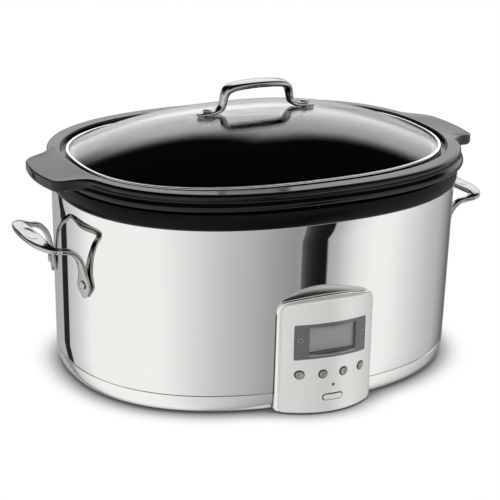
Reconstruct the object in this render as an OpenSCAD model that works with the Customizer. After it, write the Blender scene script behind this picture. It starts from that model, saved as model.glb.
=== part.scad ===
// Oval slow cooker: steel body, lift-out stoneware crock, glass lid, control pod.
// Millimetres, +Z up, +X along the long axis, front (control pod) towards -Y.
// The origin is on the table, under the middle of the part's overall box.

/* [Steel body] */
// Half the length of the steel wall at its top edge
body_half_length = 190; // [178:1:202]
// Half the depth of the steel wall at its top edge
body_half_depth = 150.5; // [142:0.5:160]
// Squareness of the body's oval (2 is an ellipse)
body_squareness = 2.31; // [2.2:0.01:2.42]
// Height of the steel wall's top edge above the table
body_top = 173; // [165:1:185]
// Sheet thickness of the steel wall
wall = 0.8; // [0.6:0.1:1.2]
// Inward slope of the wall per millimetre of height
wall_draft = 0.022; // [0.014:0.002:0.03]

/* [Base] */
// Height of the seam between the steel wall and the base ring
seam_height = 18; // [15:0.5:22]
// Width by which the base ring draws in below the seam
ring_tuck = 3.2; // [2:0.2:5]
// Thickness of the base ring
ring_wall = 2.2; // [1.6:0.1:3]
// Thickness of the bottom plate
plate_thickness = 1; // [0.8:0.1:1.6]
// Height of the feet below the base ring
foot_proud = 1.5; // [1:0.1:3]
// Diameter of a foot
foot_diameter = 20; // [16:0.5:24]
// Distance of each foot's middle inside the wall's top edge, at the ends
foot_inset_ends = 62; // [56:1:70]
// Distance of each foot's middle inside the wall's top edge, at front and back
foot_inset_sides = 72.5; // [66:0.5:80]

/* [Collar] */
// Height of the black collar above the steel wall
collar_height = 16; // [13:0.5:20]
// Bulge of the collar beyond the steel wall
collar_bulge = 2.2; // [1.2:0.1:3]
// Thickness of the collar's skirts and top web
collar_wall = 2.4; // [2:0.1:3]
// Depth of the collar's skirts inside the steel wall
collar_skirt = 12; // [8:0.5:18]

/* [Heating well] */
// Air gap between well and steel wall at the two ends
air_gap_ends = 10; // [9:0.5:12]
// Air gap between well and steel wall at front and back
air_gap_sides = 16.5; // [15:0.5:18]
// Sheet thickness of the heating well
well_wall = 1; // [0.8:0.1:1.4]
// Height of the well's floor above the table
well_floor_height = 49; // [44:0.5:54]
// Diameter of the four tie rods
tie_rod_diameter = 5; // [4:0.5:6]

/* [Crock] */
// Clearance between the crock and the well
crock_clearance = 1.8; // [1.2:0.1:2.5]
// Extra squareness of the crock's oval over the body's
crock_squareness_extra = 0.12; // [0.05:0.01:0.2]
// Wall thickness of the stoneware
crock_wall = 9.5; // [8:0.25:11]
// Floor thickness of the stoneware
crock_floor = 12; // [9:0.5:14]
// Inward slope of the crock's wall per millimetre of depth
crock_draft = 0.1; // [0.08:0.005:0.115]
// Radius of the crock's bottom corner
crock_corner = 30; // [24:1:34]
// Gap between the collar and the flange above it
flange_gap = 1.2; // [0.8:0.1:2]
// Height of the crock's flange
flange_height = 15; // [13:0.5:18]
// Overhang of the flange's lower bead beyond the steel wall
flange_overhang = 5; // [3.5:0.25:7]
// Step between the flange's lower bead and its upper edge
flange_step = 2.5; // [1.5:0.25:3.5]
// Width of the lid ledge at the two ends
ledge_ends = 14.3; // [12.5:0.1:15]
// Width of the lid ledge at front and back
ledge_sides = 16.3; // [14:0.1:18]
// Depth of the lid ledge below the flange's top
ledge_depth = 6.5; // [5:0.25:7.5]
// Reach of each ear beyond the flange
ear_reach = 23; // [18:0.5:28]
// Half the width of each ear
ear_half_width = 43; // [36:0.5:48]
// Thickness of each ear
ear_thickness = 10.5; // [8:0.5:12]
// Corner radius of each ear
ear_corner = 14; // [10:0.5:17]
// Radius of the blend between ear and flange
ear_blend = 30; // [24:0.5:34]
// Radius of each ear's bowed tip, seen from above
ear_bow = 150; // [120:5:220]
// Downward slope of each ear towards its tip, in degrees
ear_slope = 7.5; // [3:0.5:9]

/* [Lid] */
// Play between lid and recess at the two ends
lid_play_ends = 4; // [3:0.1:5]
// Play between lid and recess at front and back
lid_play_sides = 8.5; // [6:0.25:9.5]
// Height of the steel band round the glass
rim_height = 5.6; // [5:0.1:7]
// Width of the steel band's lips over the glass
rim_lip = 3; // [2.5:0.1:4]
// Sheet thickness of the steel band
rim_wall = 0.7; // [0.5:0.1:0.9]
// Rise of the glass dome above the band
dome_rise = 34.5; // [31:0.5:40]
// Fullness of the dome (2 is a parabola)
dome_fullness = 2.2; // [2:0.05:2.6]

/* [Lid handle] */
// Height of the lid handle's grip above the glass at the dome's top
lid_grip_height = 27.5; // [24:0.5:32]
// Half the length of the lid handle's grip
lid_grip_half_length = 31; // [28:0.5:36]
// Width of the lid handle's grip
lid_grip_width = 18.5; // [15:0.5:21]
// Thickness of the lid handle
lid_grip_thickness = 6.4; // [5.6:0.2:7.2]
// Distance of each lid screw from the middle
lid_screw_x = 50; // [46:0.5:56]
// Diameter of the lid screws
lid_screw_diameter = 4; // [3:0.5:5]

/* [Side handles] */
// Reach of the side handles beyond the steel wall
handle_reach = 41.5; // [37:0.5:47]
// Height of the side handles' grips above the table
handle_height = 142.5; // [136:0.5:147]
// Half the length of a side handle between its corners
handle_half_length = 42; // [39:0.5:46]
// Width of a side handle's grip in its middle
handle_grip_width = 17; // [14:0.5:20]
// Thickness of a side handle's grip
handle_thickness = 5.2; // [4.4:0.2:6]
// Height of the handle rivets above the table
rivet_height = 105; // [100:0.5:109]
// Distance of each handle rivet from the middle
rivet_y = 40; // [37:0.5:42]
// Diameter of the handle rivets' shanks
rivet_diameter = 4.8; // [4:0.2:6]

/* [Control pod] */
// Reach of the pod's nose beyond the wall's top edge
pod_reach = 16.5; // [15:0.5:20]
// Half the width of the pod's front cover
pod_half_width = 45.5; // [44:0.5:50]
// Height of the pod's front cover above the table
pod_top = 109; // [104:0.5:116]
// Curve radius of the pod's face, seen from above
pod_radius = 72; // [70:1:84]
// Depth of the front cover's nose in front of the rear frame
pod_cover_depth = 7; // [6:0.25:8]
// Border of the rear frame outside the front cover's sides
pod_border = 2.5; // [1.5:0.25:4]
// Height of the rear frame above the front cover
frame_rise = 3.5; // [2.5:0.25:6]
// Wall thickness of both pod shells
pod_wall = 2.4; // [2:0.1:2.8]
// Half the width of the display window
window_half_width = 35.5; // [32:0.5:37]
// Height of the display window
window_height = 32.5; // [29:0.5:34]
// Height of the display window's middle above the table
window_z = 70.5; // [68:0.5:74]
// Rise of the display window's two long edges in their middle
window_arch = 2; // [1:0.25:3]
// Width of the LCD
lcd_width = 47; // [42:0.5:50]
// Height of the LCD
lcd_height = 24; // [20:0.5:25]

/* [Buttons] */
// Diameter of the four small buttons
button_diameter = 8; // [7:0.25:9]
// Distance between neighbouring small buttons
button_pitch = 20.3; // [19:0.1:21.5]
// Height of the small buttons above the table
button_z = 38.5; // [37:0.25:41]
// Length of the power button
power_length = 20; // [17:0.5:23]
// Height of the power button's face
power_width = 6; // [5:0.25:7]
// Height of the power button above the table
power_z = 16; // [14.5:0.25:18]
// Travel of every button
button_travel = 0.8; // [0.5:0.05:0.8]
// Height of the power light above the table
light_z = 27.5; // [26:0.25:29]
// Diameter of the power light
light_diameter = 2.6; // [2:0.2:3.2]

/* [Cord inlet] */
// Diameter of the bore for the mains cord
cord_bore = 7.4; // [6:0.2:9]
// Height of the cord inlet above the table
inlet_z = 38; // [36:0.5:42]

/* [Electrics] */
// Thickness of the circuit boards
board_thickness = 1.6; // [1.2:0.2:2]
// Length of the power board
power_board_length = 120; // [100:1:135]
// Width of the power board
power_board_width = 76; // [64:1:86]
// Height of the standoffs under the power board
standoff_height = 7; // [5:0.5:8]
// Height of the heating band
heater_height = 48; // [36:1:56]

/* [Hidden] */

$fn = 48;
oval_sides = 64;
seat = 0.2;          // gap left between two seated pieces that don't press on each other
lift_seat = 0.3;     // gap under a piece that lifts off
slip = 0.15;         // gap round a piece that is dropped into a hole
crock_squareness = body_squareness + crock_squareness_extra;

ring_bottom = foot_proud;
collar_top = body_top + collar_height;
well_top = collar_top + well_wall;
flange_bottom = well_top + flange_gap;
flange_top = flange_bottom + flange_height;
ledge_z = flange_top - ledge_depth;
flange_a = body_half_length + flange_overhang;
flange_b = body_half_depth + flange_overhang;

well_a = body_half_length - wall - air_gap_ends;
well_b = body_half_depth - wall - air_gap_sides;
crock_a = well_a - well_wall - crock_clearance;
crock_b = well_b - well_wall - crock_clearance;
crock_bottom = well_floor_height + lift_seat;
opening_a = crock_a - crock_wall;
opening_b = crock_b - crock_wall;
recess_a = opening_a + ledge_ends;
recess_b = opening_b + ledge_sides;

lid_a = recess_a - lid_play_ends;
lid_b = recess_b - lid_play_sides;
lid_bottom = ledge_z + lift_seat;
lid_band_top = lid_bottom + rim_height;
glass_inset = rim_wall + seat;
glass_edge_bottom = lid_bottom + rim_wall + seat;
glass_edge_top = lid_band_top - rim_wall - seat;
glass_thickness = glass_edge_top - glass_edge_bottom;
dome_a = lid_a - rim_lip - seat;
dome_b = lid_b - rim_lip - seat;
dome_top = glass_edge_top + dome_rise;

plate_z = ring_bottom + ring_wall + seat;
plate_top = plate_z + plate_thickness;
board_bottom = plate_top + standoff_height;
board_top = board_bottom + board_thickness;
shield_thickness = 0.8;
shield_z = well_floor_height - well_wall - 9;
foot_spread_x = body_half_length - foot_inset_ends;
foot_spread_y = body_half_depth - foot_inset_sides;
tie_rod_x = 0.525 * well_a;
tie_rod_y = 0.39 * well_b;

pod_nose = -(body_half_depth + pod_reach);
frame_nose = pod_nose + pod_cover_depth;
frame_radius = 1.45 * pod_radius;
frame_half_width = pod_half_width + pod_border;
frame_top = pod_top + frame_rise;
pod_bottom = ring_bottom;
pod_arch = 4 * pod_half_width;
window_floor_z = window_z - window_height / 2;
board_y = frame_nose + 9;
control_board_half_width = pod_half_width - pod_wall - 5;
control_board_bottom = pod_bottom + pod_wall + 4;
control_board_top = pod_top - 14;
switch_size = 6;
switch_height = 1.6;

gland_thread = cord_bore + 6;
gland_flange = gland_thread + 6;
gland_flange_thickness = 2.5;
gland_neck = 5;
gland_inside = 11;
gland_nut = 4;
gland_seat_y = wall_b(inlet_z - gland_flange / 2) + wall_draft * gland_flange + seat;
gland_end_y = gland_seat_y + gland_flange_thickness + gland_neck;

button_proud = 0.8;
front_reach = button_proud - pod_nose;
rear_reach = max(flange_b, gland_end_y);
oval_y = (front_reach - rear_reach) / 2;

black = [0.07, 0.07, 0.075];
steel = [0.8, 0.8, 0.79];
satin = [0.72, 0.72, 0.71];

// ---- shared geometry ----

function signed_power(v, p) = sign(v) * pow(abs(v), p);

// Points of an oval |x/a|^n + |y/b|^n = 1.
function oval(a, b, n) = [
    for (i = [0:oval_sides - 1])
        let (t = 360 * (i + 0.5) / oval_sides)
            [a * signed_power(cos(t), 2 / n), b * signed_power(sin(t), 2 / n)]
];

// Half length of the oval at the distance y from its long axis.
function oval_x(a, b, n, y) = a * pow(1 - pow(abs(y) / b, n), 1 / n);

function wall_inset(z) = wall_draft * (body_top - z);
function wall_a(z) = body_half_length - wall_inset(z);
function wall_b(z) = body_half_depth - wall_inset(z);

// Outer shape of the crock below its flange, as the inset from its top size at height z.
function crock_inset(z) = crock_draft * (flange_bottom - z);

// Quarter round of radius r from a vertical wall at inset d to a floor at height z.
function floor_corner(d, z, r, steps) = [
    for (k = [0:steps]) let (t = 90 * k / steps) [d + r * (1 - sin(t)), z + r * (1 - cos(t))]
];

function reversed(list) = [for (k = [len(list) - 1:-1:0]) list[k]];

// A profile of [inset, z] pairs as rings of [a, b, z].
function rings_from(a, b, profile) = [for (p = profile) [a - p[0], b - p[0], p[1]]];

// Triangles between neighbouring rings of equal point counts.
function side_faces(count, sides, closed) = [
    for (k = [0:count - (closed ? 1 : 2)])
        for (i = [0:sides - 1])
            let (m = (k + 1) % count, j = (i + 1) % sides)
                for (face = [
                        [k * sides + i, m * sides + i, m * sides + j],
                        [k * sides + i, m * sides + j, k * sides + j]
                    ])
                    face
];

function first_cap(sides) = [for (i = [0:sides - 1]) i];
function last_cap(count, sides) = [for (i = [sides - 1:-1:0]) (count - 1) * sides + i];

// Solid through a stack of rings of equal point counts, closed at both ends.
module ring_stack(points, count, sides) {
    caps = [first_cap(sides), last_cap(count, sides)];
    polyhedron(points, concat(caps, side_faces(count, sides, false)), 8);
}

// Points of rings of [a, b, z], or of [a, b, z, squareness] where one ring differs from the rest.
function ring_points(rings, n) = [
    for (r = rings) for (p = oval(r[0], r[1], len(r) > 3 ? r[3] : n)) [p[0], p[1], r[2]]
];

// Solid through a stack of ovals, closed at both ends.
module oval_solid(rings, n) {
    ring_stack(ring_points(rings, n), len(rings), oval_sides);
}

// Endless band whose section runs through a loop of ovals.
module oval_band(rings, n) {
    polyhedron(ring_points(rings, n), side_faces(len(rings), oval_sides, true), 8);
}

module oval_plate(a, b, n, thickness) {
    linear_extrude(thickness) polygon(oval(a, b, n));
}

// Moves what is drawn about the oval's middle into the part's frame.
module on_oval() {
    translate([0, oval_y, 0]) children();
}

module at_corners(x, y) {
    for (sx = [-1, 1])
        for (sy = [-1, 1])
            translate([sx * x, sy * y, 0]) children();
}

// Cylinder along +Y that starts at the height z and the distance y.
module rod_y(x, y, z, diameter, length) {
    translate([x, y, z]) rotate([-90, 0, 0]) cylinder(h = length, d = diameter);
}

// ---- swept bars ----

// Catmull-Rom blend of four vectors.
function blend(p0, p1, p2, p3, t) =
    0.5 * (2 * p1 + (p2 - p0) * t + (2 * p0 - 5 * p1 + 4 * p2 - p3) * t * t
        + (3 * p1 - p0 - 3 * p2 + p3) * t * t * t);

function smooth_path(stations, steps) =
    let (last = len(stations) - 1)
        concat(
            [
                for (k = [0:last - 1])
                    for (s = [0:steps - 1])
                        blend(stations[max(k - 1, 0)], stations[k], stations[k + 1],
                            stations[min(k + 2, last)], s / steps)
            ],
            [stations[last]]);

function unit(v) = v / norm(v);
function place(s) = [s[0], s[1], s[2]];

// Section ring at path point k. The station's last value is the width's heading, seen from above.
function bar_ring(path, k, sides) =
    let (
        before = place(path[max(k - 1, 0)]),
        after = place(path[min(k + 1, len(path) - 1)]),
        along = unit(after - before),
        level = [cos(path[k][5]), sin(path[k][5]), 0],
        side = unit(level - along * (level * along)),
        up = cross(along, side)
    ) [
        for (i = [0:sides - 1])
            let (t = 360 * (i + 0.5) / sides)
                place(path[k]) + side * path[k][3] * signed_power(cos(t), 0.8)
                    + up * path[k][4] * signed_power(sin(t), 0.8)
    ];

// Bar of changing section along stations of [x, y, z, half width, half thickness, heading].
module bar(stations, steps, sides) {
    path = smooth_path(stations, steps);
    ring_stack([for (k = [0:len(path) - 1]) for (p = bar_ring(path, k, sides)) p], len(path), sides);
}

// ---- body ----

// Outer profile of the base ring below the seam, as [inset, z] from the ring's bottom up.
ring_low = ring_tuck + wall_inset(ring_bottom) - wall_inset(seam_height);
ring_rise = seam_height - ring_bottom;
ring_profile = [
    [ring_low + 1.6, ring_bottom],
    [ring_low + 0.3, ring_bottom + 1.2],
    [0.45 * ring_low, ring_bottom + 0.35 * ring_rise],
    [0.12 * ring_low, ring_bottom + 0.7 * ring_rise],
    [0, seam_height]
];

// The body's outside as one solid, grown all round.
module body_envelope(grow) {
    bottom = ring_profile[0];
    profile = concat([[bottom[0] - grow, bottom[1] - 1]], [for (p = ring_profile) [p[0] - grow, p[1]]],
        [[-wall_inset(seam_height) - grow, body_top]]);
    oval_solid(rings_from(wall_a(seam_height), wall_b(seam_height), profile), body_squareness);
}

module rivet_holes() {
    reach = 6 * rivet_diameter;
    at_rivets() translate([0, 0, -reach / 2]) cylinder(h = reach, d = rivet_diameter + 2 * slip);
}

module housing_wall() {
    color("silver") on_oval() difference() {
        oval_band([
            [wall_a(seam_height), wall_b(seam_height), seam_height],
            [wall_a(body_top), wall_b(body_top), body_top],
            [wall_a(body_top) - wall, wall_b(body_top) - wall, body_top],
            [wall_a(seam_height) - wall, wall_b(seam_height) - wall, seam_height]
        ], body_squareness);
        rivet_holes();
        rod_y(0, 0, inlet_z, gland_thread + 2 * slip, 2 * body_half_depth);
        translate([-pod_half_width / 2, -2 * body_half_depth, window_z - window_height / 2])
            cube([pod_half_width, 2 * body_half_depth, window_height]);
    }
}

module housing_collar() {
    a = wall_a(body_top);
    b = wall_b(body_top);
    skirt_bottom = body_top - collar_skirt;
    skirt = wall + wall_draft * collar_skirt + seat;
    web = collar_top - collar_wall;
    inner_a = well_a + seat;
    inner_b = well_b + seat;
    outer = rings_from(a, b, [
        [skirt, skirt_bottom],
        [skirt, body_top],
        [0, body_top],
        [-0.6 * collar_bulge, body_top + 0.1 * collar_height],
        [-collar_bulge, body_top + 0.35 * collar_height],
        [-collar_bulge, body_top + 0.6 * collar_height],
        [-0.5 * collar_bulge, body_top + 0.86 * collar_height],
        [0.5 * collar_bulge, collar_top]
    ]);
    inner = [
        [inner_a, inner_b, collar_top, crock_squareness],
        [inner_a, inner_b, skirt_bottom, crock_squareness],
        [inner_a + collar_wall, inner_b + collar_wall, skirt_bottom, crock_squareness],
        [inner_a + collar_wall, inner_b + collar_wall, web, crock_squareness],
        [a - skirt - collar_wall, b - skirt - collar_wall, web],
        [a - skirt - collar_wall, b - skirt - collar_wall, skirt_bottom]
    ];
    color(black) on_oval() oval_band(concat(outer, inner), body_squareness);
}

module base_ring() {
    lip = wall + seat;
    lip_top = seam_height + 6;
    inner = [
        [wall, seam_height],
        [lip, seam_height],
        [lip, lip_top],
        [lip + ring_wall, lip_top],
        [ring_wall + 0.5, seam_height - 2],
        [ring_wall + 0.6 * ring_low, ring_bottom + 0.35 * ring_rise],
        [ring_low + ring_wall + 1, ring_bottom + ring_wall],
        [ring_low + ring_ledge, ring_bottom + ring_wall],
        [ring_low + ring_ledge, ring_bottom]
    ];
    color(satin) on_oval() difference() {
        oval_band(rings_from(wall_a(seam_height), wall_b(seam_height), concat(ring_profile, inner)),
            body_squareness);
        translate([0, 0, ring_bottom - 1])
            at_plate_screws() cylinder(h = 3 * ring_wall, d = plate_screw + 2 * slip);
    }
}

ring_ledge = 14;
plate_screw = 3;
plate_screw_inset = 4;
plate_inset = ring_tuck + ring_wall + 2;
plate_a = wall_a(ring_bottom) - plate_inset;
plate_b = wall_b(ring_bottom) - plate_inset;

module at_plate_screws() {
    reach = 0.78;
    at_corners(reach * (plate_a - plate_screw_inset), oval_screw_y(reach)) children();
}

// Depth at which a screw lies on the middle of the ring's ledge.
function oval_screw_y(reach) =
    (plate_b - plate_screw_inset) * pow(1 - pow(reach, body_squareness), 1 / body_squareness);

module base_plate() {
    slot_length = 26;
    slot_width = 4;
    slot_pitch = 9;
    depth = plate_thickness + 2;
    color("dimgray") on_oval() difference() {
        translate([0, 0, plate_z]) oval_plate(plate_a, plate_b, body_squareness, plate_thickness);
        translate([0, 0, plate_z - 1]) {
            at_plate_screws() cylinder(h = depth, d = plate_screw + 2 * slip);
            at_corners(tie_rod_x, tie_rod_y) cylinder(h = depth, d = tie_rod_diameter + 2 * slip);
            at_corners(foot_spread_x, foot_spread_y) cylinder(h = depth, d = foot_neck + 2 * slip);
            for (k = [-3:3])
                translate([k * slot_pitch - slot_width / 2, -slot_length / 2, 0])
                    cube([slot_width, slot_length, depth]);
        }
    }
}

module plate_screws() {
    end = 3;
    color("gray") on_oval() at_plate_screws()
        translate([0, 0, ring_bottom + ring_wall - end])
            cylinder(h = plate_thickness + 2 * end, d = plate_screw - seat);
}

foot_neck = 9;
foot_head = foot_neck + 4;
foot_head_height = 2;

module feet() {
    color(black) on_oval() at_corners(foot_spread_x, foot_spread_y) {
        cylinder(h = plate_z - seat, d = foot_diameter);
        cylinder(h = plate_top + seat, d = foot_neck);
        translate([0, 0, plate_top + seat]) cylinder(h = foot_head_height, d = foot_head);
    }
}

// ---- heating well ----

// Outside of the well or the crock, from its floor up, as [inset, z].
function tub_profile(bottom, corner, top) =
    concat(floor_corner(crock_inset(bottom + corner), bottom, corner, 5), [[crock_inset(top), top]]);

module heating_well() {
    rim = 5;
    inner_a = well_a - well_wall;
    inner_b = well_b - well_wall;
    outside = tub_profile(well_floor_height - well_wall, crock_corner + well_wall, collar_top);
    inside = tub_profile(well_floor_height, crock_corner, well_top);
    rim_rings = [[well_a + rim, well_b + rim, collar_top], [well_a + rim, well_b + rim, well_top]];
    inner_rings = reversed(rings_from(inner_a, inner_b, inside));
    color("lightgray") on_oval()
        oval_solid(concat(rings_from(well_a, well_b, outside), rim_rings, inner_rings), crock_squareness);
}

heater_thickness = 1.6;
blanket_thickness = 6;
heater_z = well_floor_height + crock_corner + 2;

// Band that hugs the well's side, starting the distance out from it.
module well_wrap(out, thickness, z0, z1) {
    rings = [
        for (p = [[out, z0], [out, z1], [out + thickness, z1], [out + thickness, z0]])
            [well_a - crock_inset(p[1]) + p[0], well_b - crock_inset(p[1]) + p[0], p[1]]
    ];
    oval_band(reversed(rings), crock_squareness);
}

module heater_band() {
    color("goldenrod") on_oval() well_wrap(seat, heater_thickness, heater_z, heater_z + heater_height);
}

module insulation_blanket() {
    out = 2 * seat + heater_thickness;
    color("wheat") on_oval() well_wrap(out, blanket_thickness, heater_z, heater_z + heater_height);
}

module tie_rods() {
    shoulder = tie_rod_diameter + 3;
    rod_bottom = plate_z - tie_nut_height;
    color("gray") on_oval() at_corners(tie_rod_x, tie_rod_y) {
        translate([0, 0, rod_bottom])
            cylinder(h = well_floor_height - well_wall - rod_bottom, d = tie_rod_diameter);
        translate([0, 0, plate_top]) cylinder(h = shield_z - plate_top, d = shoulder);
    }
}

tie_nut_height = 2.4;

module tie_nuts() {
    color("darkgray") on_oval() at_corners(tie_rod_x, tie_rod_y)
        translate([0, 0, plate_z - tie_nut_height]) difference() {
            cylinder(h = tie_nut_height, d = 1.9 * tie_rod_diameter, $fn = 6);
            translate([0, 0, -1]) cylinder(h = tie_nut_height + 2, d = tie_rod_diameter + 2 * slip);
        }
}

module heat_shield() {
    flat = crock_inset(well_floor_height + crock_corner) + crock_corner;
    color("silver") on_oval() translate([0, 0, shield_z]) difference() {
        oval_plate(well_a - flat, well_b - flat, crock_squareness, shield_thickness);
        at_corners(tie_rod_x, tie_rod_y)
            translate([0, 0, -1]) cylinder(h = shield_thickness + 2, d = tie_rod_diameter + 2 * slip);
    }
}

module temperature_sensor() {
    bottom = shield_z + shield_thickness;
    top = well_floor_height - well_wall - seat;
    sensor_diameter = 9;
    flange_diameter = 14;
    flange_thickness = 2;
    color("silver") on_oval() translate([0, 0, bottom]) {
        cylinder(h = flange_thickness, d = flange_diameter);
        cylinder(h = top - bottom, d = sensor_diameter);
    }
}

module thermal_fuse() {
    bottom = shield_z + shield_thickness;
    fuse_diameter = 5;
    fuse_length = 22;
    fuse_x = 40;
    fuse_y = 24;
    holder_length = 10;
    holder_width = 8;
    middle = well_floor_height - well_wall - seat - bottom - fuse_diameter / 2;
    color("ivory") on_oval() translate([fuse_x, fuse_y, bottom]) {
        translate([-fuse_length / 2, 0, middle])
            rotate([0, 90, 0]) cylinder(h = fuse_length, d = fuse_diameter);
        translate([-holder_length / 2, -holder_width / 2, 0]) cube([holder_length, holder_width, middle]);
    }
}

// ---- power board ----

board_screw = 3;
board_screw_inset = 6;
board_screw_x = power_board_length / 2 - board_screw_inset;
board_screw_y = power_board_width / 2 - board_screw_inset;

module power_board() {
    color("darkgreen") on_oval() difference() {
        translate([-power_board_length / 2, -power_board_width / 2, board_bottom])
            cube([power_board_length, power_board_width, board_thickness]);
        translate([0, 0, board_bottom - 1]) at_corners(board_screw_x, board_screw_y)
            cylinder(h = board_thickness + 2, d = board_screw + 2 * slip);
    }
}

module power_board_standoffs() {
    standoff_floor = 1;
    standoff_wall = 2;
    color("ivory") on_oval() translate([0, 0, plate_top])
        at_corners(board_screw_x, board_screw_y) difference() {
            cylinder(h = standoff_height, d = board_screw + 2 * standoff_wall);
            translate([0, 0, standoff_floor]) cylinder(h = standoff_height, d = board_screw + 2 * slip);
        }
}

module power_board_screws() {
    bottom = plate_top + 1.5;
    head_height = 1.8;
    head_diameter = board_screw + 2.5;
    color("gray") on_oval() at_corners(board_screw_x, board_screw_y) {
        translate([0, 0, bottom]) cylinder(h = board_top - bottom, d = board_screw);
        translate([0, 0, board_top]) cylinder(h = head_height, d = head_diameter);
    }
}

// Block that stands on the power board, about the point [x, y].
module board_block(x, y, size) {
    translate([x - size[0] / 2, y - size[1] / 2, board_top]) cube(size);
}

module relay() {
    color("dimgray") on_oval() board_block(-32, 8, [20, 16, 15]);
}

module transformer() {
    color("khaki") on_oval() board_block(30, -6, [30, 26, 19]);
}

module capacitor() {
    capacitor_height = 17;
    capacitor_diameter = 12;
    color("royalblue") on_oval()
        translate([-8, -18, board_top]) cylinder(h = capacitor_height, d = capacitor_diameter);
}

terminal_y = 26;
terminal_width = 12;
terminal_height = 11;

module terminal_block() {
    color("seagreen") on_oval() board_block(0, terminal_y, [30, terminal_width, terminal_height]);
}

lead_radius = 1.2;

module heater_leads() {
    start_y = terminal_y + terminal_width / 2 + seat;
    start_z = board_top + terminal_height / 2;
    band_b = well_b - crock_inset(heater_z) + seat;
    end_z = heater_z - 2 * seat;
    color("firebrick") on_oval() for (x = [-8, 8]) bar([
        [x, start_y, start_z, lead_radius, lead_radius, 0],
        [x, start_y + 26, start_z + 4, lead_radius, lead_radius, 0],
        [x, band_b - 22, start_z + 8, lead_radius, lead_radius, 0],
        [x, band_b + 1, end_z - 32, lead_radius, lead_radius, 0],
        [x, band_b + 4, end_z - 14, lead_radius, lead_radius, 0],
        [x, band_b + 1, end_z, lead_radius, lead_radius, 0]
    ], 3, 8);
}

module control_leads() {
    start_y = -power_board_width / 2 - seat;
    end_y = board_y + board_thickness + seat;
    half = 6;
    thick = 0.6;
    mid_z = board_bottom + board_thickness / 2;
    color("lightgray") on_oval() bar([
        [0, start_y, mid_z, half, thick, 0],
        [0, start_y - 28, mid_z + 2, half, thick, 0],
        [0, end_y + 34, mid_z + 16, half, thick, 0],
        [0, end_y + 14, window_z - 18, half, thick, 0],
        [0, end_y + 5, window_z - 6, half, thick, 0],
        [0, end_y, window_z - 3, half, thick, 0]
    ], 3, 8);
}

// ---- cord inlet ----

module cord_gland() {
    inner_y = gland_seat_y - gland_inside;
    color(black) on_oval() difference() {
        union() {
            rod_y(0, inner_y, inlet_z, gland_thread, gland_inside + gland_flange_thickness + gland_neck);
            rod_y(0, gland_seat_y, inlet_z, gland_flange, gland_flange_thickness);
        }
        rod_y(0, inner_y - 1, inlet_z, cord_bore, gland_inside + gland_flange_thickness + gland_neck + 2);
    }
}

module cord_gland_nut() {
    nut_end = wall_b(inlet_z - gland_flange / 2) - wall - seat;
    color("dimgray") on_oval() difference() {
        translate([0, nut_end - gland_nut, inlet_z]) rotate([-90, 0, 0])
            cylinder(h = gland_nut, d = gland_flange + 2, $fn = 6);
        rod_y(0, nut_end - gland_nut - 1, inlet_z, gland_thread + 2 * slip, gland_nut + 2);
    }
}

// ---- side handles ----

handle_foot = 2.1;

function wall_x(y, z) = oval_x(wall_a(z), wall_b(z), body_squareness, y);

// Heading of the wall's surface at the distance y, seen from above.
function wall_heading(y, z) = 270 + atan((wall_x(y - 1, z) - wall_x(y + 1, z)) / 2);

// Stations from the middle of the grip to the tip of one foot.
function handle_half() =
    let (
        grip_x = body_half_length + handle_reach - handle_grip_width / 2,
        half_w = handle_grip_width / 2,
        half_t = handle_thickness / 2,
        drop = handle_height - rivet_height,
        corner = handle_half_length,
        tilt = wall_heading(rivet_y, rivet_height),
        upper_x = wall_x(rivet_y, handle_height),
        rivet_x = wall_x(rivet_y, rivet_height),
        foot_x = rivet_x + handle_foot + seat
    ) [
        [grip_x, 0, handle_height, half_w, half_t, 180],
        [grip_x, 0.45 * corner, handle_height + 0.3, 0.93 * half_w, half_t, 180],
        [grip_x - 1, 0.8 * corner, handle_height + 0.2, 0.72 * half_w, half_t, 190],
        [grip_x - 5.5, corner, handle_height - 1, 0.56 * half_w, half_t, 228],
        [grip_x - 13.5, corner, handle_height - 3, 0.46 * half_w, half_t, 262],
        [upper_x + 14, (corner + rivet_y) / 2 + 1, handle_height - 0.14 * drop, 0.45 * half_w, half_t, 270],
        [upper_x + 6.5, rivet_y + 1.5, handle_height - 0.36 * drop, 0.48 * half_w, half_t, tilt],
        [rivet_x + 3.6, rivet_y + 0.6, handle_height - 0.7 * drop, 0.66 * half_w, 0.9 * half_t, tilt],
        [foot_x, rivet_y, rivet_height, 1.1 * half_w, 0.72 * half_t, tilt],
        [foot_x - 0.3, rivet_y, rivet_height - 11, 0.4 * half_w, 0.55 * half_t, tilt]
    ];

module side_handle() {
    half = handle_half();
    far_half = [
        for (k = [len(half) - 1:-1:1])
            let (s = half[k]) [s[0], -s[1], s[2], s[3], s[4], 360 - s[5]]
    ];
    difference() {
        bar(concat(far_half, half), 4, 12);
        rivet_holes();
    }
}

module left_handle() {
    color(steel) on_oval() mirror([1, 0, 0]) side_handle();
}

module right_handle() {
    color(steel) on_oval() side_handle();
}

rivet_head = rivet_diameter + 3.6;
rivet_head_height = 1.8;
rivet_head_gap = 0.55;
rivet_tail = 1;
rivet_washer_thickness = 1.2;
rivet_washer_gap = 1.3;

// Places its children on the wall's outside at one rivet, with +Z pointing out.
module at_rivets() {
    for (side = [0, 1])
        mirror([side, 0, 0])
            for (sy = [-1, 1])
                translate([wall_x(rivet_y, rivet_height), sy * rivet_y, rivet_height])
                    rotate([0, 90, sy * (wall_heading(rivet_y, rivet_height) - 270)]) children();
}

module handle_rivets() {
    foot_top = 2 * handle_foot + seat + rivet_head_gap;
    inside = wall + rivet_washer_gap + rivet_washer_thickness + 2 * seat;
    color(steel) on_oval() at_rivets() {
        translate([0, 0, -inside]) cylinder(h = inside + foot_top, d = rivet_diameter);
        translate([0, 0, foot_top]) rivet_dome(rivet_head, rivet_head_height);
        translate([0, 0, -inside - rivet_tail]) cylinder(h = rivet_tail, d = rivet_head);
    }
}

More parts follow.
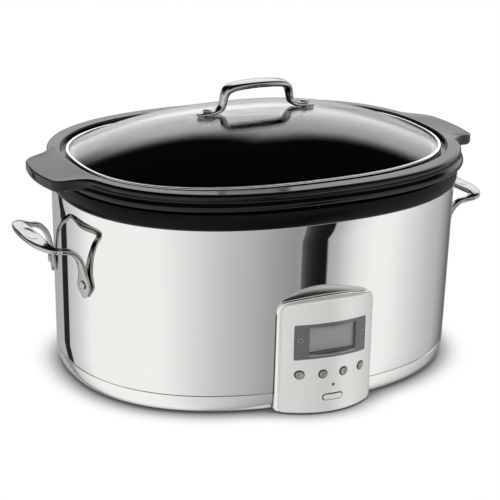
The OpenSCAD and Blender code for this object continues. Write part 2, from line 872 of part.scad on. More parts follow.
// Low dome on a flat base.
module rivet_dome(diameter, height) {
    r = (diameter * diameter / 4 + height * height) / (2 * height);
    intersection() {
        translate([0, 0, height - r]) sphere(r = r);
        cylinder(h = height, d = diameter);
    }
}

module rivet_washers() {
    washer_diameter = rivet_head + 4;
    color("gray") on_oval() at_rivets()
        translate([0, 0, -wall - rivet_washer_gap - rivet_washer_thickness]) difference() {
            cylinder(h = rivet_washer_thickness, d = washer_diameter);
            translate([0, 0, -1])
                cylinder(h = rivet_washer_thickness + 2, d = rivet_diameter + 2 * slip);
        }
}

// ---- control pod ----

face_centre_y = pod_nose + pod_radius;
frame_centre_y = frame_nose + frame_radius;

// Distance y of an arc of radius r about a centre on the middle plane, at the length x.
function arc_y(centre_y, r, x) = centre_y - sqrt(r * r - x * x);

// Upright disc wall seen from above: everything inside the radius r about the face's centre.
module face_disc(r) {
    translate([0, face_centre_y, -1]) cylinder(h = 2 * pod_top, r = r, $fn = 180);
}

module frame_disc(r) {
    translate([0, frame_centre_y, -1]) cylinder(h = 2 * pod_top, r = r, $fn = 180);
}

// Front view of the pod: upright sides, rounded top corners and a slightly arched top.
module pod_outline(half, bottom, top, corner) {
    intersection() {
        union() {
            translate([-half, bottom]) square([2 * half, top - bottom - corner]);
            translate([-half + corner, bottom]) square([2 * (half - corner), top - bottom]);
            for (sx = [-1, 1]) translate([sx * (half - corner), top - corner]) circle(r = corner);
        }
        translate([0, top - pod_arch]) circle(r = pod_arch, $fn = 180);
    }
}

// Extrudes a front view from the plane y0 back towards the body.
module front_extrude(y0, depth) {
    translate([0, y0 + depth, 0]) rotate([90, 0, 0]) linear_extrude(depth) children();
}

module pill(length, width) {
    square([length - width, width], center = true);
    for (sx = [-1, 1]) translate([sx * (length - width) / 2, 0]) circle(d = width);
}

module window_outline(grow) {
    half = window_half_width + grow;
    radius = (window_half_width * window_half_width + window_arch * window_arch) / (2 * window_arch);
    difference() {
        intersection() {
            translate([-half, window_floor_z - 2 * window_arch]) square([2 * half, 2 * window_height]);
            translate([0, window_floor_z + window_height - radius]) circle(r = radius + grow, $fn = 360);
        }
        translate([0, window_floor_z - radius]) circle(r = radius - grow, $fn = 360);
    }
}

frame_corner = 12;
cover_corner = 9;
opening_corner = 6;
opening_half_width = pod_half_width - 6;
opening_top = pod_top - 9;

module pod_frame() {
    depth = -frame_nose;
    color(steel) on_oval() difference() {
        intersection() {
            front_extrude(frame_nose - 1, depth)
                pod_outline(frame_half_width, pod_bottom, frame_top, frame_corner);
            frame_disc(frame_radius);
        }
        body_envelope(seat);
        front_extrude(frame_nose - 2, depth)
            pod_outline(opening_half_width, pod_bottom + pod_wall, opening_top, opening_corner);
    }
}

module pod_cover() {
    depth = 3 * pod_cover_depth;
    inner_radius = pod_radius - pod_wall;
    screw_hole = 4;
    color(satin) on_oval() difference() {
        union() {
            difference() {
                intersection() {
                    front_extrude(pod_nose - 1, depth)
                        pod_outline(pod_half_width, pod_bottom, pod_top, cover_corner);
                    face_disc(pod_radius);
                }
                intersection() {
                    front_extrude(pod_nose, depth) pod_outline(
                        pod_half_width - pod_wall, pod_bottom + pod_wall, pod_top - pod_wall,
                        cover_corner - pod_wall);
                    face_disc(inner_radius);
                }
                frame_disc(frame_radius + seat);
            }
            at_board_screws() {
                start = arc_y(face_centre_y, inner_radius, board_boss_x) - boss_root;
                rod_y(0, start, 0, board_boss, board_y - start - boss_gap);
            }
        }
        at_board_screws()
            rod_y(0, board_y - screw_hole, 0, cover_screw + 2 * screw_clearance, screw_hole + 1);
        front_extrude(pod_nose - 2, depth) window_outline(slip);
        for (k = [0:3]) rod_y(button_x(k), pod_nose - 2, button_z, button_diameter + 2 * slip, depth);
        front_extrude(pod_nose - 2, depth)
            translate([0, power_z]) pill(power_length + 2 * slip, power_width + 2 * slip);
        rod_y(0, pod_nose - 2, light_z, light_diameter + 2 * slip, depth);
    }
}

function button_x(k) = (k - 1.5) * button_pitch;

board_boss = 5.5;
boss_inset = 4;
boss_root = 0.6;
boss_gap = 0.05;
board_boss_x = control_board_half_width - boss_inset;
cover_screw = 2;
screw_clearance = 0.1;

module at_board_screws() {
    for (sx = [-1, 1])
        for (z = [control_board_bottom + boss_inset, control_board_top - boss_inset])
            translate([sx * board_boss_x, 0, z]) children();
}

window_thickness = 1.8;
window_recess = 0.5;
window_back_radius = pod_radius - window_recess - window_thickness;

module display_window() {
    color([0.35, 0.36, 0.37]) on_oval() difference() {
        intersection() {
            front_extrude(pod_nose - 1, 3 * pod_cover_depth) window_outline(0);
            face_disc(pod_radius - window_recess);
        }
        face_disc(window_back_radius);
    }
}

lcd_border = 2;

module lcd_module() {
    half = lcd_width / 2 + lcd_border;
    front = arc_y(face_centre_y, window_back_radius, half) + seat;
    color([0.5, 0.52, 0.5]) on_oval()
        translate([-half, front, window_z - lcd_height / 2 - lcd_border])
            cube([2 * half, board_y - front, lcd_height + 2 * lcd_border]);
}

cooking_light = 3;
cooking_light_x = 30.5;

module cooking_lights() {
    front = arc_y(face_centre_y, window_back_radius, cooking_light_x + cooking_light / 2) + seat;
    color("orange") on_oval() for (sx = [-1, 1])
        rod_y(sx * cooking_light_x, front, window_z, cooking_light, board_y - front);
}

light_recess = 0.2;

module power_light() {
    color("red") on_oval() intersection() {
        rod_y(0, pod_nose - 1, light_z, light_diameter, board_y - pod_nose + 1);
        face_disc(pod_radius - light_recess);
    }
}

module control_board() {
    color("darkgreen") on_oval() difference() {
        translate([-control_board_half_width, board_y, control_board_bottom])
            cube([2 * control_board_half_width, board_thickness, control_board_top - control_board_bottom]);
        at_board_screws() rod_y(0, board_y - 1, 0, cover_screw + 2 * slip, board_thickness + 2);
    }
}

module board_screws() {
    length = 3.5;
    head_diameter = cover_screw + 2;
    head_height = 1;
    color("gray") on_oval() at_board_screws() {
        rod_y(0, board_y - length, 0, cover_screw, length + board_thickness);
        rod_y(0, board_y + board_thickness, 0, head_diameter, head_height);
    }
}

module button_switches() {
    front = board_y - switch_height;
    color("dimgray") on_oval() {
        for (k = [0:3]) switch_body(button_x(k), front, button_z);
        switch_body(0, front, power_z);
    }
}

module switch_body(x, y, z) {
    translate([x - switch_size / 2, y, z - switch_size / 2]) cube([switch_size, switch_height, switch_size]);
}

// ---- buttons ----

button_flange = 0.8;
button_lip = 0.7;
button_stem = 3;
switch_gap = 0.1;
stem_end = board_y - switch_height - button_travel - switch_gap;

// One button from the front views of its cap, its retaining flange and its stem, in that order.
module button(x, reach) {
    flange_y = arc_y(face_centre_y, pod_radius - pod_wall, abs(x) + reach + button_lip) + seat;
    intersection() {
        front_extrude(pod_nose - 2, flange_y - pod_nose + 2) children(0);
        face_disc(pod_radius + button_proud);
    }
    front_extrude(flange_y, button_flange) children(1);
    front_extrude(flange_y, stem_end - flange_y) children(2);
}

module round_button(k) {
    x = button_x(k);
    color(steel) on_oval() button(x, button_diameter / 2) {
        translate([x, button_z]) circle(d = button_diameter);
        translate([x, button_z]) circle(d = button_diameter + 2 * button_lip);
        translate([x, button_z]) circle(d = button_stem);
    }
}

module button_1() {
    round_button(0);
}

module button_2() {
    round_button(1);
}

module button_3() {
    round_button(2);
}

module button_4() {
    round_button(3);
}

module power_button() {
    color(steel) on_oval() button(0, power_length / 2) {
        translate([0, power_z]) pill(power_length, power_width);
        translate([0, power_z]) pill(power_length + 2 * button_lip, power_width + 2 * button_lip);
        translate([0, power_z]) circle(d = button_stem);
    }
}

// ---- crock ----

flange_profile = [
    [3.5, 0],
    [1, 0.05],
    [0, 0.16],
    [0.5, 0.32],
    [flange_step, 0.42],
    [flange_step + 1.4, 0.52],
    [flange_step + 1, 0.64],
    [flange_step, 0.82],
    [flange_step + 1, 0.94],
    [flange_step + 3.5, 1]
];

module crock() {
    outside = rings_from(crock_a, crock_b, tub_profile(crock_bottom, crock_corner, flange_bottom));
    flange = rings_from(flange_a, flange_b,
        [for (p = flange_profile) [p[0], flange_bottom + p[1] * flange_height]]);
    recess = rings_from(recess_a, recess_b, [
        [-1, flange_top],
        [0, flange_top - 1],
        [0.6, ledge_z + 0.8],
        [1.6, ledge_z]
    ]);
    mouth = rings_from(opening_a, opening_b, [[-1.5, ledge_z], [0, ledge_z - 1.5]]);
    inside = rings_from(opening_a, opening_b,
        tub_profile(crock_bottom + crock_floor, crock_corner - crock_wall, flange_bottom));
    color(black) on_oval() {
        oval_solid(concat(outside, flange, recess, mouth, reversed(inside)), crock_squareness);
        for (side = [0, 1]) mirror([side, 0, 0]) ear();
    }
}

// The ear's outline, seen from above, is a bowed tip, a corner arc and a blend arc that meets the
// flange's oval without a kink. Its blend ends just inside the flange's upper edge.
ear_root_x = recess_a + 2;
ear_oval_a = flange_a - flange_step - 0.6;
ear_oval_b = flange_b - flange_step - 0.6;
bow_x = flange_a + ear_reach - ear_bow;
corner_y = ear_half_width - ear_corner;
corner_x = bow_x + sqrt(pow(ear_bow - ear_corner, 2) - corner_y * corner_y);

// Point of the flange's oval at the turn t, and the middle of a blend arc that touches it there.
function flange_point(t) = [
    ear_oval_a * pow(cos(t), 2 / crock_squareness), ear_oval_b * pow(sin(t), 2 / crock_squareness)
];
function blend_middle(t) =
    let (p = flange_point(t), n = crock_squareness - 1)
        p + ear_blend * unit([
            pow(p[0] / ear_oval_a, n) / ear_oval_a,
            pow(p[1] / ear_oval_b, n) / ear_oval_b
        ]);

// Turn at which the blend arc also touches the corner arc.
function blend_turn(low, high, steps) =
    let (t = (low + high) / 2)
        steps == 0 ? t
        : norm(blend_middle(t) - [corner_x, corner_y]) > ear_blend + ear_corner
            ? blend_turn(low, t, steps - 1)
        : blend_turn(t, high, steps - 1);

function arc(middle, r, from, to, steps) = [
    for (k = [0:steps]) let (t = from + (to - from) * k / steps) middle + r * [cos(t), sin(t)]
];

// Half of the ear's outline, from the middle of its tip to the flange.
function ear_half() =
    let (
        turn = blend_turn(5, 40, 20),
        middle = blend_middle(turn),
        touch = flange_point(turn),
        bow_end = asin(corner_y / (ear_bow - ear_corner)),
        meet = atan2(middle[1] - corner_y, middle[0] - corner_x),
        blend_end = 180 + atan2(middle[1] - touch[1], middle[0] - touch[0])
    ) concat(
        arc([bow_x, 0], ear_bow, 0, bow_end, 3),
        arc([corner_x, corner_y], ear_corner, bow_end + (meet - bow_end) / 6, meet, 5),
        arc(middle, ear_blend, 180 + meet - (180 + meet - blend_end) / 8, blend_end, 7)
    );

// One lifting ear, drawn at the +X end.
module ear() {
    half = ear_half();
    root_y = ear_half_width - 3;
    other = [for (k = [len(half) - 1:-1:1]) [half[k][0], -half[k][1]]];
    translate([ear_root_x, 0, flange_top])
        rotate([0, ear_slope, 0])
            translate([-ear_root_x, 0, -ear_thickness])
                linear_extrude(ear_thickness)
                    polygon(concat(half, [[ear_root_x, root_y], [ear_root_x, -root_y]], other));
}

// ---- lid ----

// Height of the glass's top at the fraction r of its way from the middle to the dome's edge.
function dome_z(r) = glass_edge_top + dome_rise * (1 - pow(r, dome_fullness));

dome_steps = [0.02, 0.1, 0.2, 0.265, 0.33, 0.4, 0.48, 0.57, 0.68, 0.79, 0.87, 0.93, 0.97, 1];

module lid_glass() {
    edge = rings_from(lid_a, lid_b, [[glass_inset, glass_edge_bottom], [glass_inset, glass_edge_top]]);
    top = [for (r = dome_steps) [dome_a * r, dome_b * r, dome_z(r)]];
    bottom = [for (ring = top) [ring[0], ring[1], ring[2] - glass_thickness]];
    color([0.6, 0.65, 0.68, 0.45]) on_oval() difference() {
        oval_solid(concat(bottom, edge, reversed(top)), crock_squareness);
        lid_screw_holes();
    }
}

module lid_rim() {
    edge = 0.8;
    color(steel) on_oval() oval_band(rings_from(lid_a, lid_b, [
        [0, lid_bottom],
        [0, lid_band_top - edge],
        [edge, lid_band_top],
        [rim_lip, lid_band_top],
        [rim_lip, lid_band_top - rim_wall],
        [rim_wall, lid_band_top - rim_wall],
        [rim_wall, lid_bottom + rim_wall],
        [rim_lip, lid_bottom + rim_wall],
        [rim_lip, lid_bottom]
    ]), crock_squareness);
}

screw_glass_z = dome_z(lid_screw_x / dome_a);
lid_pad_half = 0.3 * lid_grip_thickness;
lid_pad_centre = lid_pad_half + 0.25;
lid_head_gap = 0.65;

module lid_handle() {
    top = dome_top + lid_grip_height;
    w = lid_grip_width / 2;
    t = lid_grip_thickness / 2;
    grip = lid_grip_half_length;
    bend = grip + 4.5;
    pad_inner = lid_screw_x - 9;
    pad_tip = lid_screw_x + 8.5;
    half = [
        [0, top - t, w, t],
        [0.6 * grip, top - t - 0.8, 0.95 * w, t],
        [0.92 * grip, top - t - 3, 0.85 * w, t],
        [grip + 1.5, top - t - 8, 0.66 * w, 0.95 * t],
        [grip + 3, top - t - 15, 0.56 * w, 0.9 * t],
        [bend, dome_z(bend / dome_a) + 5.5, 0.52 * w, 0.9 * t],
        [pad_inner, dome_z(pad_inner / dome_a) + seat + 2.4, 0.6 * w, 0.7 * t],
        [lid_screw_x, screw_glass_z + seat + lid_pad_centre, 0.78 * w, lid_pad_half],
        [pad_tip, dome_z(pad_tip / dome_a) + seat + 1.7, 0.42 * w, 0.45 * t]
    ];
    right = [for (h = half) [h[0], 0, h[1], h[2], h[3], 90]];
    left = [for (k = [len(half) - 1:-1:1]) [-half[k][0], 0, half[k][1], half[k][2], half[k][3], 90]];
    color(steel) on_oval() difference() {
        bar(concat(left, right), 4, 12);
        lid_screw_holes();
    }
}

lid_washer = lid_screw_diameter + 7;
lid_washer_thickness = 1.5;
lid_nut_height = 4;
// Top of the washer under the glass, clear of the dome's slope.
washer_top = dome_z((lid_screw_x + lid_washer / 2) / dome_a) - glass_thickness - 0.1;

module at_lid_screws(z) {
    for (sx = [-1, 1]) translate([sx * lid_screw_x, 0, z]) children();
}

module lid_screw_holes() {
    at_lid_screws(glass_edge_top) cylinder(h = 2 * dome_rise, d = lid_screw_diameter + 2 * slip);
}

module lid_screws() {
    head_z = screw_glass_z + seat + lid_pad_centre + lid_pad_half + lid_head_gap;
    bottom = washer_top - lid_washer_thickness - lid_nut_height;
    color(steel) on_oval() {
        at_lid_screws(bottom) cylinder(h = head_z - bottom, d = lid_screw_diameter);
        at_lid_screws(head_z) rivet_dome(2.1 * lid_screw_diameter, 2);
    }
}

module lid_washers() {
    color("dimgray") on_oval() at_lid_screws(washer_top - lid_washer_thickness) difference() {
        cylinder(h = lid_washer_thickness, d = lid_washer);
        translate([0, 0, -1]) cylinder(h = lid_washer_thickness + 2, d = lid_screw_diameter + 2 * slip);
    }
}

module lid_nuts() {
    nut_z = washer_top - lid_washer_thickness - lid_nut_height;
    color("lightgray") on_oval() at_lid_screws(nut_z) difference() {
        cylinder(h = lid_nut_height, d = 2 * lid_screw_diameter, $fn = 6);
        translate([0, 0, -1]) cylinder(h = lid_nut_height + 2, d = lid_screw_diameter + 2 * slip);
    }
}

housing_wall();
housing_collar();
base_ring();
base_plate();
plate_screws();
feet();
heating_well();
heater_band();
insulation_blanket();
tie_rods();
tie_nuts();
heat_shield();
temperature_sensor();
thermal_fuse();
power_board();
power_board_standoffs();
power_board_screws();
relay();
transformer();
capacitor();
terminal_block();
heater_leads();
control_leads();
cord_gland();
cord_gland_nut();
left_handle();
right_handle();
handle_rivets();
rivet_washers();
pod_frame();
pod_cover();
display_window();
lcd_module();
cooking_lights();
power_light();
control_board();
board_screws();
button_switches();
button_1();
button_2();
button_3();
button_4();
power_button();
crock();
lid_glass();
lid_rim();
lid_handle();
lid_screws();
lid_washers();
lid_nuts();
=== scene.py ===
"""Oval slow cooker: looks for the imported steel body, stoneware crock, glass lid and control pod."""

from math import asin, atan2, ceil, cos, pi, radians, sin, sqrt, tau

import bmesh
import bpy
import numpy as np
from bpy.props import FloatProperty, FloatVectorProperty, PointerProperty
from mathutils import Matrix, Vector
from mathutils.geometry import delaunay_2d_cdt


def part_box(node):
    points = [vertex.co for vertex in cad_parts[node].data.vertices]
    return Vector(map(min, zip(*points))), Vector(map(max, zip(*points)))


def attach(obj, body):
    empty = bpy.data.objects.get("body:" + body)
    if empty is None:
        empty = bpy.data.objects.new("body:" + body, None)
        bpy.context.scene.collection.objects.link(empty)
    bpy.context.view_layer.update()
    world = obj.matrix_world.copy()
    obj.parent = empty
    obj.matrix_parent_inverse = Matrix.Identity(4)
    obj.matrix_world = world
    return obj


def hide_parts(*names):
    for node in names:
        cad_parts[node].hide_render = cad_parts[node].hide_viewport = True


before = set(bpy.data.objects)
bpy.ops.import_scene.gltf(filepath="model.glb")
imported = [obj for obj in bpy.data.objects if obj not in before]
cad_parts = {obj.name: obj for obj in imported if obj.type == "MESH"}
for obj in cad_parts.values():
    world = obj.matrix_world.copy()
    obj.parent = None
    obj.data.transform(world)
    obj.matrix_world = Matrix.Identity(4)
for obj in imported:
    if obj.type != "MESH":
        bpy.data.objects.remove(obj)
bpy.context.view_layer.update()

bl_info = {
    "name": "Oval slow cooker",
    "version": (1, 0, 0),
    "blender": (4, 5, 0),
    "location": "View3D > Sidebar > Slow cooker",
    "description": "Builds the visible pieces of an oval slow cooker round its packed solids",
    "category": "Add Mesh",
}

MM = 0.001
WALL_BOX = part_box("housing_wall")
# Middle of the body's oval, which every piece is drawn about.
OVAL_ORIGIN = np.array([0.0, (WALL_BOX[0][1] + WALL_BOX[1][1]) / 2 / MM, 0.0])


# ---- settings ----


def length(name, description, millimetres):
    """A length in metres, given in millimetres."""
    return FloatProperty(
        name=name, description=description, default=millimetres * MM, unit="LENGTH", precision=5)


def angle(name, description, degrees):
    return FloatProperty(name=name, description=description, default=radians(degrees), subtype="ANGLE")


def plain(name, description, value):
    return FloatProperty(name=name, description=description, default=value)


def linear(hex_colour):
    """Linear red, green and blue of an sRGB hex colour."""
    channels = [int(hex_colour[k:k + 2], 16) / 255 for k in (1, 3, 5)]
    return tuple(c / 12.92 if c <= 0.04045 else ((c + 0.055) / 1.055) ** 2.4 for c in channels)


def colour(name, description, hex_colour):
    return FloatVectorProperty(
        name=name, description=description, subtype="COLOR", size=3, min=0, max=1, default=linear(hex_colour))


class CookerBody(bpy.types.PropertyGroup):
    half_length: length("Half length", "Half the length of the steel wall at its top edge", 190)
    half_depth: length("Half depth", "Half the depth of the steel wall at its top edge", 150.5)
    squareness: plain("Squareness", "Exponent of the body's oval", 2.31)
    draft: plain("Draft", "Inward slope of the wall per unit of height", 0.022)
    top: length("Wall top", "Height of the steel wall's top edge", 173)
    wall: length("Wall", "Sheet thickness of the steel wall", 0.8)
    seam: length("Seam", "Height of the seam between wall and base ring", 18)
    ring_bottom: length("Ring bottom", "Height of the base ring's lower edge", 1.5)
    ring_tuck: length("Ring tuck", "Width by which the base ring draws in", 3.2)
    ring_wall: length("Ring wall", "Thickness of the base ring", 2.2)
    collar_height: length("Collar height", "Height of the black collar", 16)
    collar_bulge: length("Collar bulge", "Bulge of the collar beyond the wall", 2.2)
    well_half_length: length("Well half length", "Half the length of the heating well", 179.2)
    well_half_depth: length("Well half depth", "Half the depth of the heating well", 133.2)
    well_floor: length("Well floor", "Height of the heating well's floor", 49)


class CookerCrock(bpy.types.PropertyGroup):
    half_length: length("Half length", "Half the length of the crock below its flange", 176.4)
    half_depth: length("Half depth", "Half the depth of the crock below its flange", 130.4)
    squareness: plain("Squareness", "Exponent of the crock's oval", 2.43)
    bottom: length("Bottom", "Height of the crock's underside", 49.3)
    wall: length("Wall", "Wall thickness of the stoneware", 9.5)
    floor: length("Floor", "Floor thickness of the stoneware", 12)
    corner: length("Corner", "Radius of the crock's bottom corner", 30)
    flange_bottom: length("Flange bottom", "Height of the flange's underside", 191.2)
    flange_top: length("Flange top", "Height of the flange's top", 206.2)
    flange_half_length: length("Flange half length", "Half the length of the flange", 195)
    flange_half_depth: length("Flange half depth", "Half the depth of the flange", 155.5)
    recess_half_length: length("Recess half length", "Half the length of the lid recess", 181.2)
    recess_half_depth: length("Recess half depth", "Half the depth of the lid recess", 137.2)
    ledge: length("Ledge", "Height of the ledge that the lid rests on", 199.7)
    ear_reach: length("Ear reach", "Distance of the ears' tips from the middle", 218)
    ear_half_width: length("Ear half width", "Half the width of an ear", 43)
    ear_thickness: length("Ear thickness", "Thickness of an ear", 10.5)
    ear_corner: length("Ear corner", "Corner radius of an ear", 14)
    ear_blend: length("Ear blend", "Radius of the blend between ear and flange", 27)
    ear_bow: length("Ear bow", "Radius of an ear's bowed tip, seen from above", 150)
    ear_slope: angle("Ear slope", "Downward slope of the ears towards their tips", 7.5)


class CookerLid(bpy.types.PropertyGroup):
    half_length: length("Half length", "Half the length of the lid", 177.2)
    half_depth: length("Half depth", "Half the depth of the lid", 128.7)
    bottom: length("Bottom", "Height of the lid's underside", 200)
    band_top: length("Band top", "Height of the steel band's top", 205.6)
    lip: length("Lip", "Width of the band's lips", 3)
    band_wall: length("Band wall", "Sheet thickness of the band", 0.7)
    glass: length("Glass", "Thickness of the glass", 3.8)
    rise: length("Rise", "Rise of the glass dome", 34.5)
    fullness: plain("Fullness", "Exponent of the dome's arch", 2.2)
    grip_top: length("Grip top", "Height of the lid handle's top", 266.55)
    grip_half_length: length("Grip half length", "Half the length of the lid handle's grip", 31)
    grip_width: length("Grip width", "Width of the lid handle's grip", 18.5)
    grip_thickness: length("Grip thickness", "Thickness of the lid handle", 6.4)
    screw_x: length("Screw distance", "Distance of each lid screw from the middle", 50)


class CookerHandles(bpy.types.PropertyGroup):
    reach: length("Reach", "Reach of the side handles beyond the wall", 41.25)
    height: length("Height", "Height of the side handles' grips", 142.5)
    half_length: length("Half length", "Half the length of a side handle", 42)
    grip_width: length("Grip width", "Width of a side handle's grip", 17)
    thickness: length("Thickness", "Thickness of a side handle's grip", 5.2)
    rivet_height: length("Rivet height", "Height of the handle rivets", 105)
    rivet_y: length("Rivet distance", "Distance of each rivet from the middle", 40)
    rivet_head: length("Rivet head", "Diameter of a rivet's head", 8.4)


class CookerPod(bpy.types.PropertyGroup):
    nose: length("Nose", "Distance of the front cover's nose from the middle", 167)
    radius: length("Face radius", "Curve radius of the front cover", 72)
    half_width: length("Half width", "Half the width of the front cover", 45.5)
    top: length("Top", "Height of the front cover", 109)
    arch: length("Arch", "Radius of the arched top edges", 182)
    frame_nose: length("Frame nose", "Distance of the rear frame's nose from the middle", 160)
    frame_radius: length("Frame radius", "Curve radius of the rear frame", 104.4)
    frame_half_width: length("Frame half width", "Half the width of the rear frame", 48)
    frame_top: length("Frame top", "Height of the rear frame", 110.4)
    bottom: length("Bottom", "Height of the pod's lower edge", 1.5)
    window_half_width: length("Window half width", "Half the width of the window", 35.5)
    window_height: length("Window height", "Height of the window", 32.5)
    window_z: length("Window middle", "Height of the window's middle", 70.5)
    window_arch: length("Window arch", "Rise of the window's long edges in their middle", 2)
    lcd_width: length("LCD width", "Width of the LCD", 47)
    lcd_height: length("LCD height", "Height of the LCD", 26)
    button: length("Button", "Diameter of the small buttons", 8)
    button_pitch: length("Button pitch", "Distance between the small buttons", 20.3)
    button_z: length("Button height", "Height of the small buttons above the table", 38.5)
    power_length: length("Power button length", "Length of the power button", 20)
    power_width: length("Power button width", "Height of the power button's face", 6)
    power_z: length("Power button height", "Height of the power button above the table", 16)
    light_z: length("Power light height", "Height of the power light above the table", 27.5)
    light: length("Power light", "Diameter of the power light", 2.6)


class CookerColours(bpy.types.PropertyGroup):
    steel: colour("Polished steel", "Stainless steel of the wall, handles and lid band", "#DDDCDA")
    satin: colour("Satin silver", "Silver finish of the pod's cover and the base ring", "#E4E3E0")
    stoneware: colour("Black stoneware", "Glazed stoneware of the crock", "#070708")
    collar: colour("Black collar", "Moulded collar round the well", "#050506")
    glass: colour("Lid glass", "Tempered glass of the lid", "#F7F6F4")
    window: colour("Smoked window", "Smoked window of the display", "#606162")
    floor: colour("Floor", "Floor of the studio", "#FFFFFF")


class CookerStage(bpy.types.PropertyGroup):
    azimuth: angle("Azimuth", "Camera's turn about the object", -26.281)
    elevation: angle("Elevation", "Camera's height angle", 18.875)
    roll: angle("Roll", "Camera's roll", 1.306)
    distance: length("Distance", "Camera's distance from the point it looks at", 1832.4)
    aim_height: length("Aim height", "Height of the point the camera looks at", 130)
    aside: length("Aside", "Camera's step to its right", -3.42)
    lift: length("Lift", "Camera's step up", -27.84)
    lens: plain("Lens", "Camera's focal length in millimetres", 139.74)


SETTINGS = {
    "cooker_body": CookerBody, "cooker_crock": CookerCrock, "cooker_lid": CookerLid,
    "cooker_handles": CookerHandles, "cooker_pod": CookerPod, "cooker_colours": CookerColours,
    "cooker_stage": CookerStage,
}


class Millimetres:
    """A property group whose lengths are read in millimetres."""

    def __init__(self, group):
        for key in group.__annotations__:
            is_length = group.bl_rna.properties[key].unit == "LENGTH"
            setattr(self, key, getattr(group, key) / MM if is_length else getattr(group, key))


# ---- shapes: (points in millimetres about the oval's middle, faces) ----

OVAL_SIDES = 360
EVEN_TURNS = tau * (np.arange(OVAL_SIDES) + 0.5) / OVAL_SIDES


def signed_power(values, power):
    """Power of the sizes, with the signs kept."""
    return np.sign(values) * np.abs(values) ** power


def oval(a, b, z, squareness, turns=EVEN_TURNS):
    """Ring of points |x/a|^n + |y/b|^n = 1 at the height z."""
    x = a * signed_power(np.cos(turns), 2 / squareness)
    y = b * signed_power(np.sin(turns), 2 / squareness)
    return np.column_stack([x, y, np.full(len(turns), float(z))])


def ovals(a, b, profile, squareness, turns=EVEN_TURNS):
    """Rings for a profile of (inset, height) pairs."""
    return [oval(a - inset, b - inset, z, squareness, turns) for inset, z in profile]


def smoothed(points, steps):
    """Catmull-Rom curve through points of any width."""
    p = np.asarray(points, float)
    p = np.vstack([2 * p[0] - p[1], p, 2 * p[-1] - p[-2]])
    curve = []
    for k in range(1, len(p) - 2):
        for step in range(steps):
            t = step / steps
            curve.append(0.5 * (
                2 * p[k] + (p[k + 1] - p[k - 1]) * t
                + (2 * p[k - 1] - 5 * p[k] + 4 * p[k + 1] - p[k + 2]) * t * t
                + (3 * p[k] - p[k - 1] - 3 * p[k + 1] + p[k + 2]) * t ** 3))
    return np.array(curve + [p[-2]])


def quarter(start, end, centre, steps):
    """Points of a quarter ellipse from start to end, bulging away from the centre."""
    angles = np.linspace(0, pi / 2, steps + 1)
    start, end, centre = (np.asarray(v, float) for v in (start, end, centre))
    return [tuple(centre + (start - centre) * cos(t) + (end - centre) * sin(t)) for t in angles]


def lofted(rings, wrap=False, caps=True):
    """Quads between neighbouring rings of equal point counts, with a face at both ends."""
    count, sides = len(rings), len(rings[0])
    faces = []
    for k in range(count if wrap else count - 1):
        m = (k + 1) % count
        faces += [(k * sides + i, m * sides + i, m * sides + (i + 1) % sides, k * sides + (i + 1) % sides)
                  for i in range(sides)]
    if caps and not wrap:
        faces.append(tuple(range(sides)))
        faces.append(tuple(range(count * sides - 1, (count - 1) * sides - 1, -1)))
    return np.concatenate(rings), faces


def joined(*shapes):
    """Several shapes as one."""
    points, faces, start = [], [], 0
    for shape_points, shape_faces in shapes:
        points.append(np.asarray(shape_points, float))
        faces += [tuple(start + i for i in face) for face in shape_faces]
        start += len(shape_points)
    return np.concatenate(points), faces


def mirrored(shape):
    """The shape's mirror image at the oval's short axis."""
    return shape[0] * np.array([-1.0, 1, 1]), shape[1]


def turned(profile, centre, axis, sides=48):
    """Closed solid of revolution: profile of (radius, distance along the axis) from one pole to the other."""
    axis = Vector(axis).normalized()
    across = axis.orthogonal().normalized()
    turns = tau * np.arange(sides) / sides
    circle = np.outer(np.cos(turns), across) + np.outer(np.sin(turns), axis.cross(across))
    rings = [np.asarray(centre) + circle * max(r, 1e-3) + np.asarray(axis) * h for r, h in profile]
    return lofted(rings)


def blend_in(value, low, high):
    """Smooth step from 0 at low to 1 at high."""
    t = np.clip((value - low) / (high - low), 0, 1)
    return t * t * (3 - 2 * t)


def way_along(path):
    """Distance of each point of a path from its start, along it."""
    return np.concatenate([[0], np.cumsum(np.linalg.norm(np.diff(path, axis=0), axis=1))])


def loop_normals(loop):
    """Unit vectors out of a counter-clockwise loop."""
    along = np.roll(loop, -1, axis=0) - np.roll(loop, 1, axis=0)
    out = np.column_stack([along[:, 1], -along[:, 0]])
    return out / np.linalg.norm(out, axis=1)[:, None]


def rivet_crown(head, base):
    """Profile of the domed crown of a rivet or screw: head is its radius, and base where its dome starts."""
    return [(head * cos(t), base + 1.3 * sin(t)) for t in np.radians([20, 35, 50, 65, 78, 89])]


# ---- pieces ----

MATERIALS = {}


def piece(name, shape, body, material, replaces=(), sharp=38):
    """A mesh object made from a shape, dressed, riding on its body and standing for CAD nodes. Points that
    lie closer together than the weld, in millimetres, become one."""
    weld = 2e-3
    points, faces = shape
    mesh = bpy.data.meshes.new(name)
    mesh.from_pydata(((np.asarray(points) + OVAL_ORIGIN) * MM).tolist(), [], faces)
    work = bmesh.new()
    work.from_mesh(mesh)
    bmesh.ops.remove_doubles(work, verts=work.verts, dist=weld * MM)
    bmesh.ops.dissolve_degenerate(work, edges=work.edges, dist=weld * MM / 4)
    loose = [v for v in work.verts if not v.link_faces]
    bmesh.ops.delete(work, geom=loose, context="VERTS")
    bmesh.ops.recalc_face_normals(work, faces=work.faces)
    work.to_mesh(mesh)
    work.free()
    mesh.shade_smooth()
    mesh.set_sharp_from_angle(angle=radians(sharp))
    mesh.materials.append(MATERIALS[material])
    made = bpy.data.objects.new(name, mesh)
    bpy.context.scene.collection.objects.link(made)
    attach(made, body)
    if replaces:
        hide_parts(*replaces)
    return made


# ---- materials ----


def per_mm(size):
    """Texture scale at which a feature is so many millimetres wide."""
    return 1 / (size * MM)


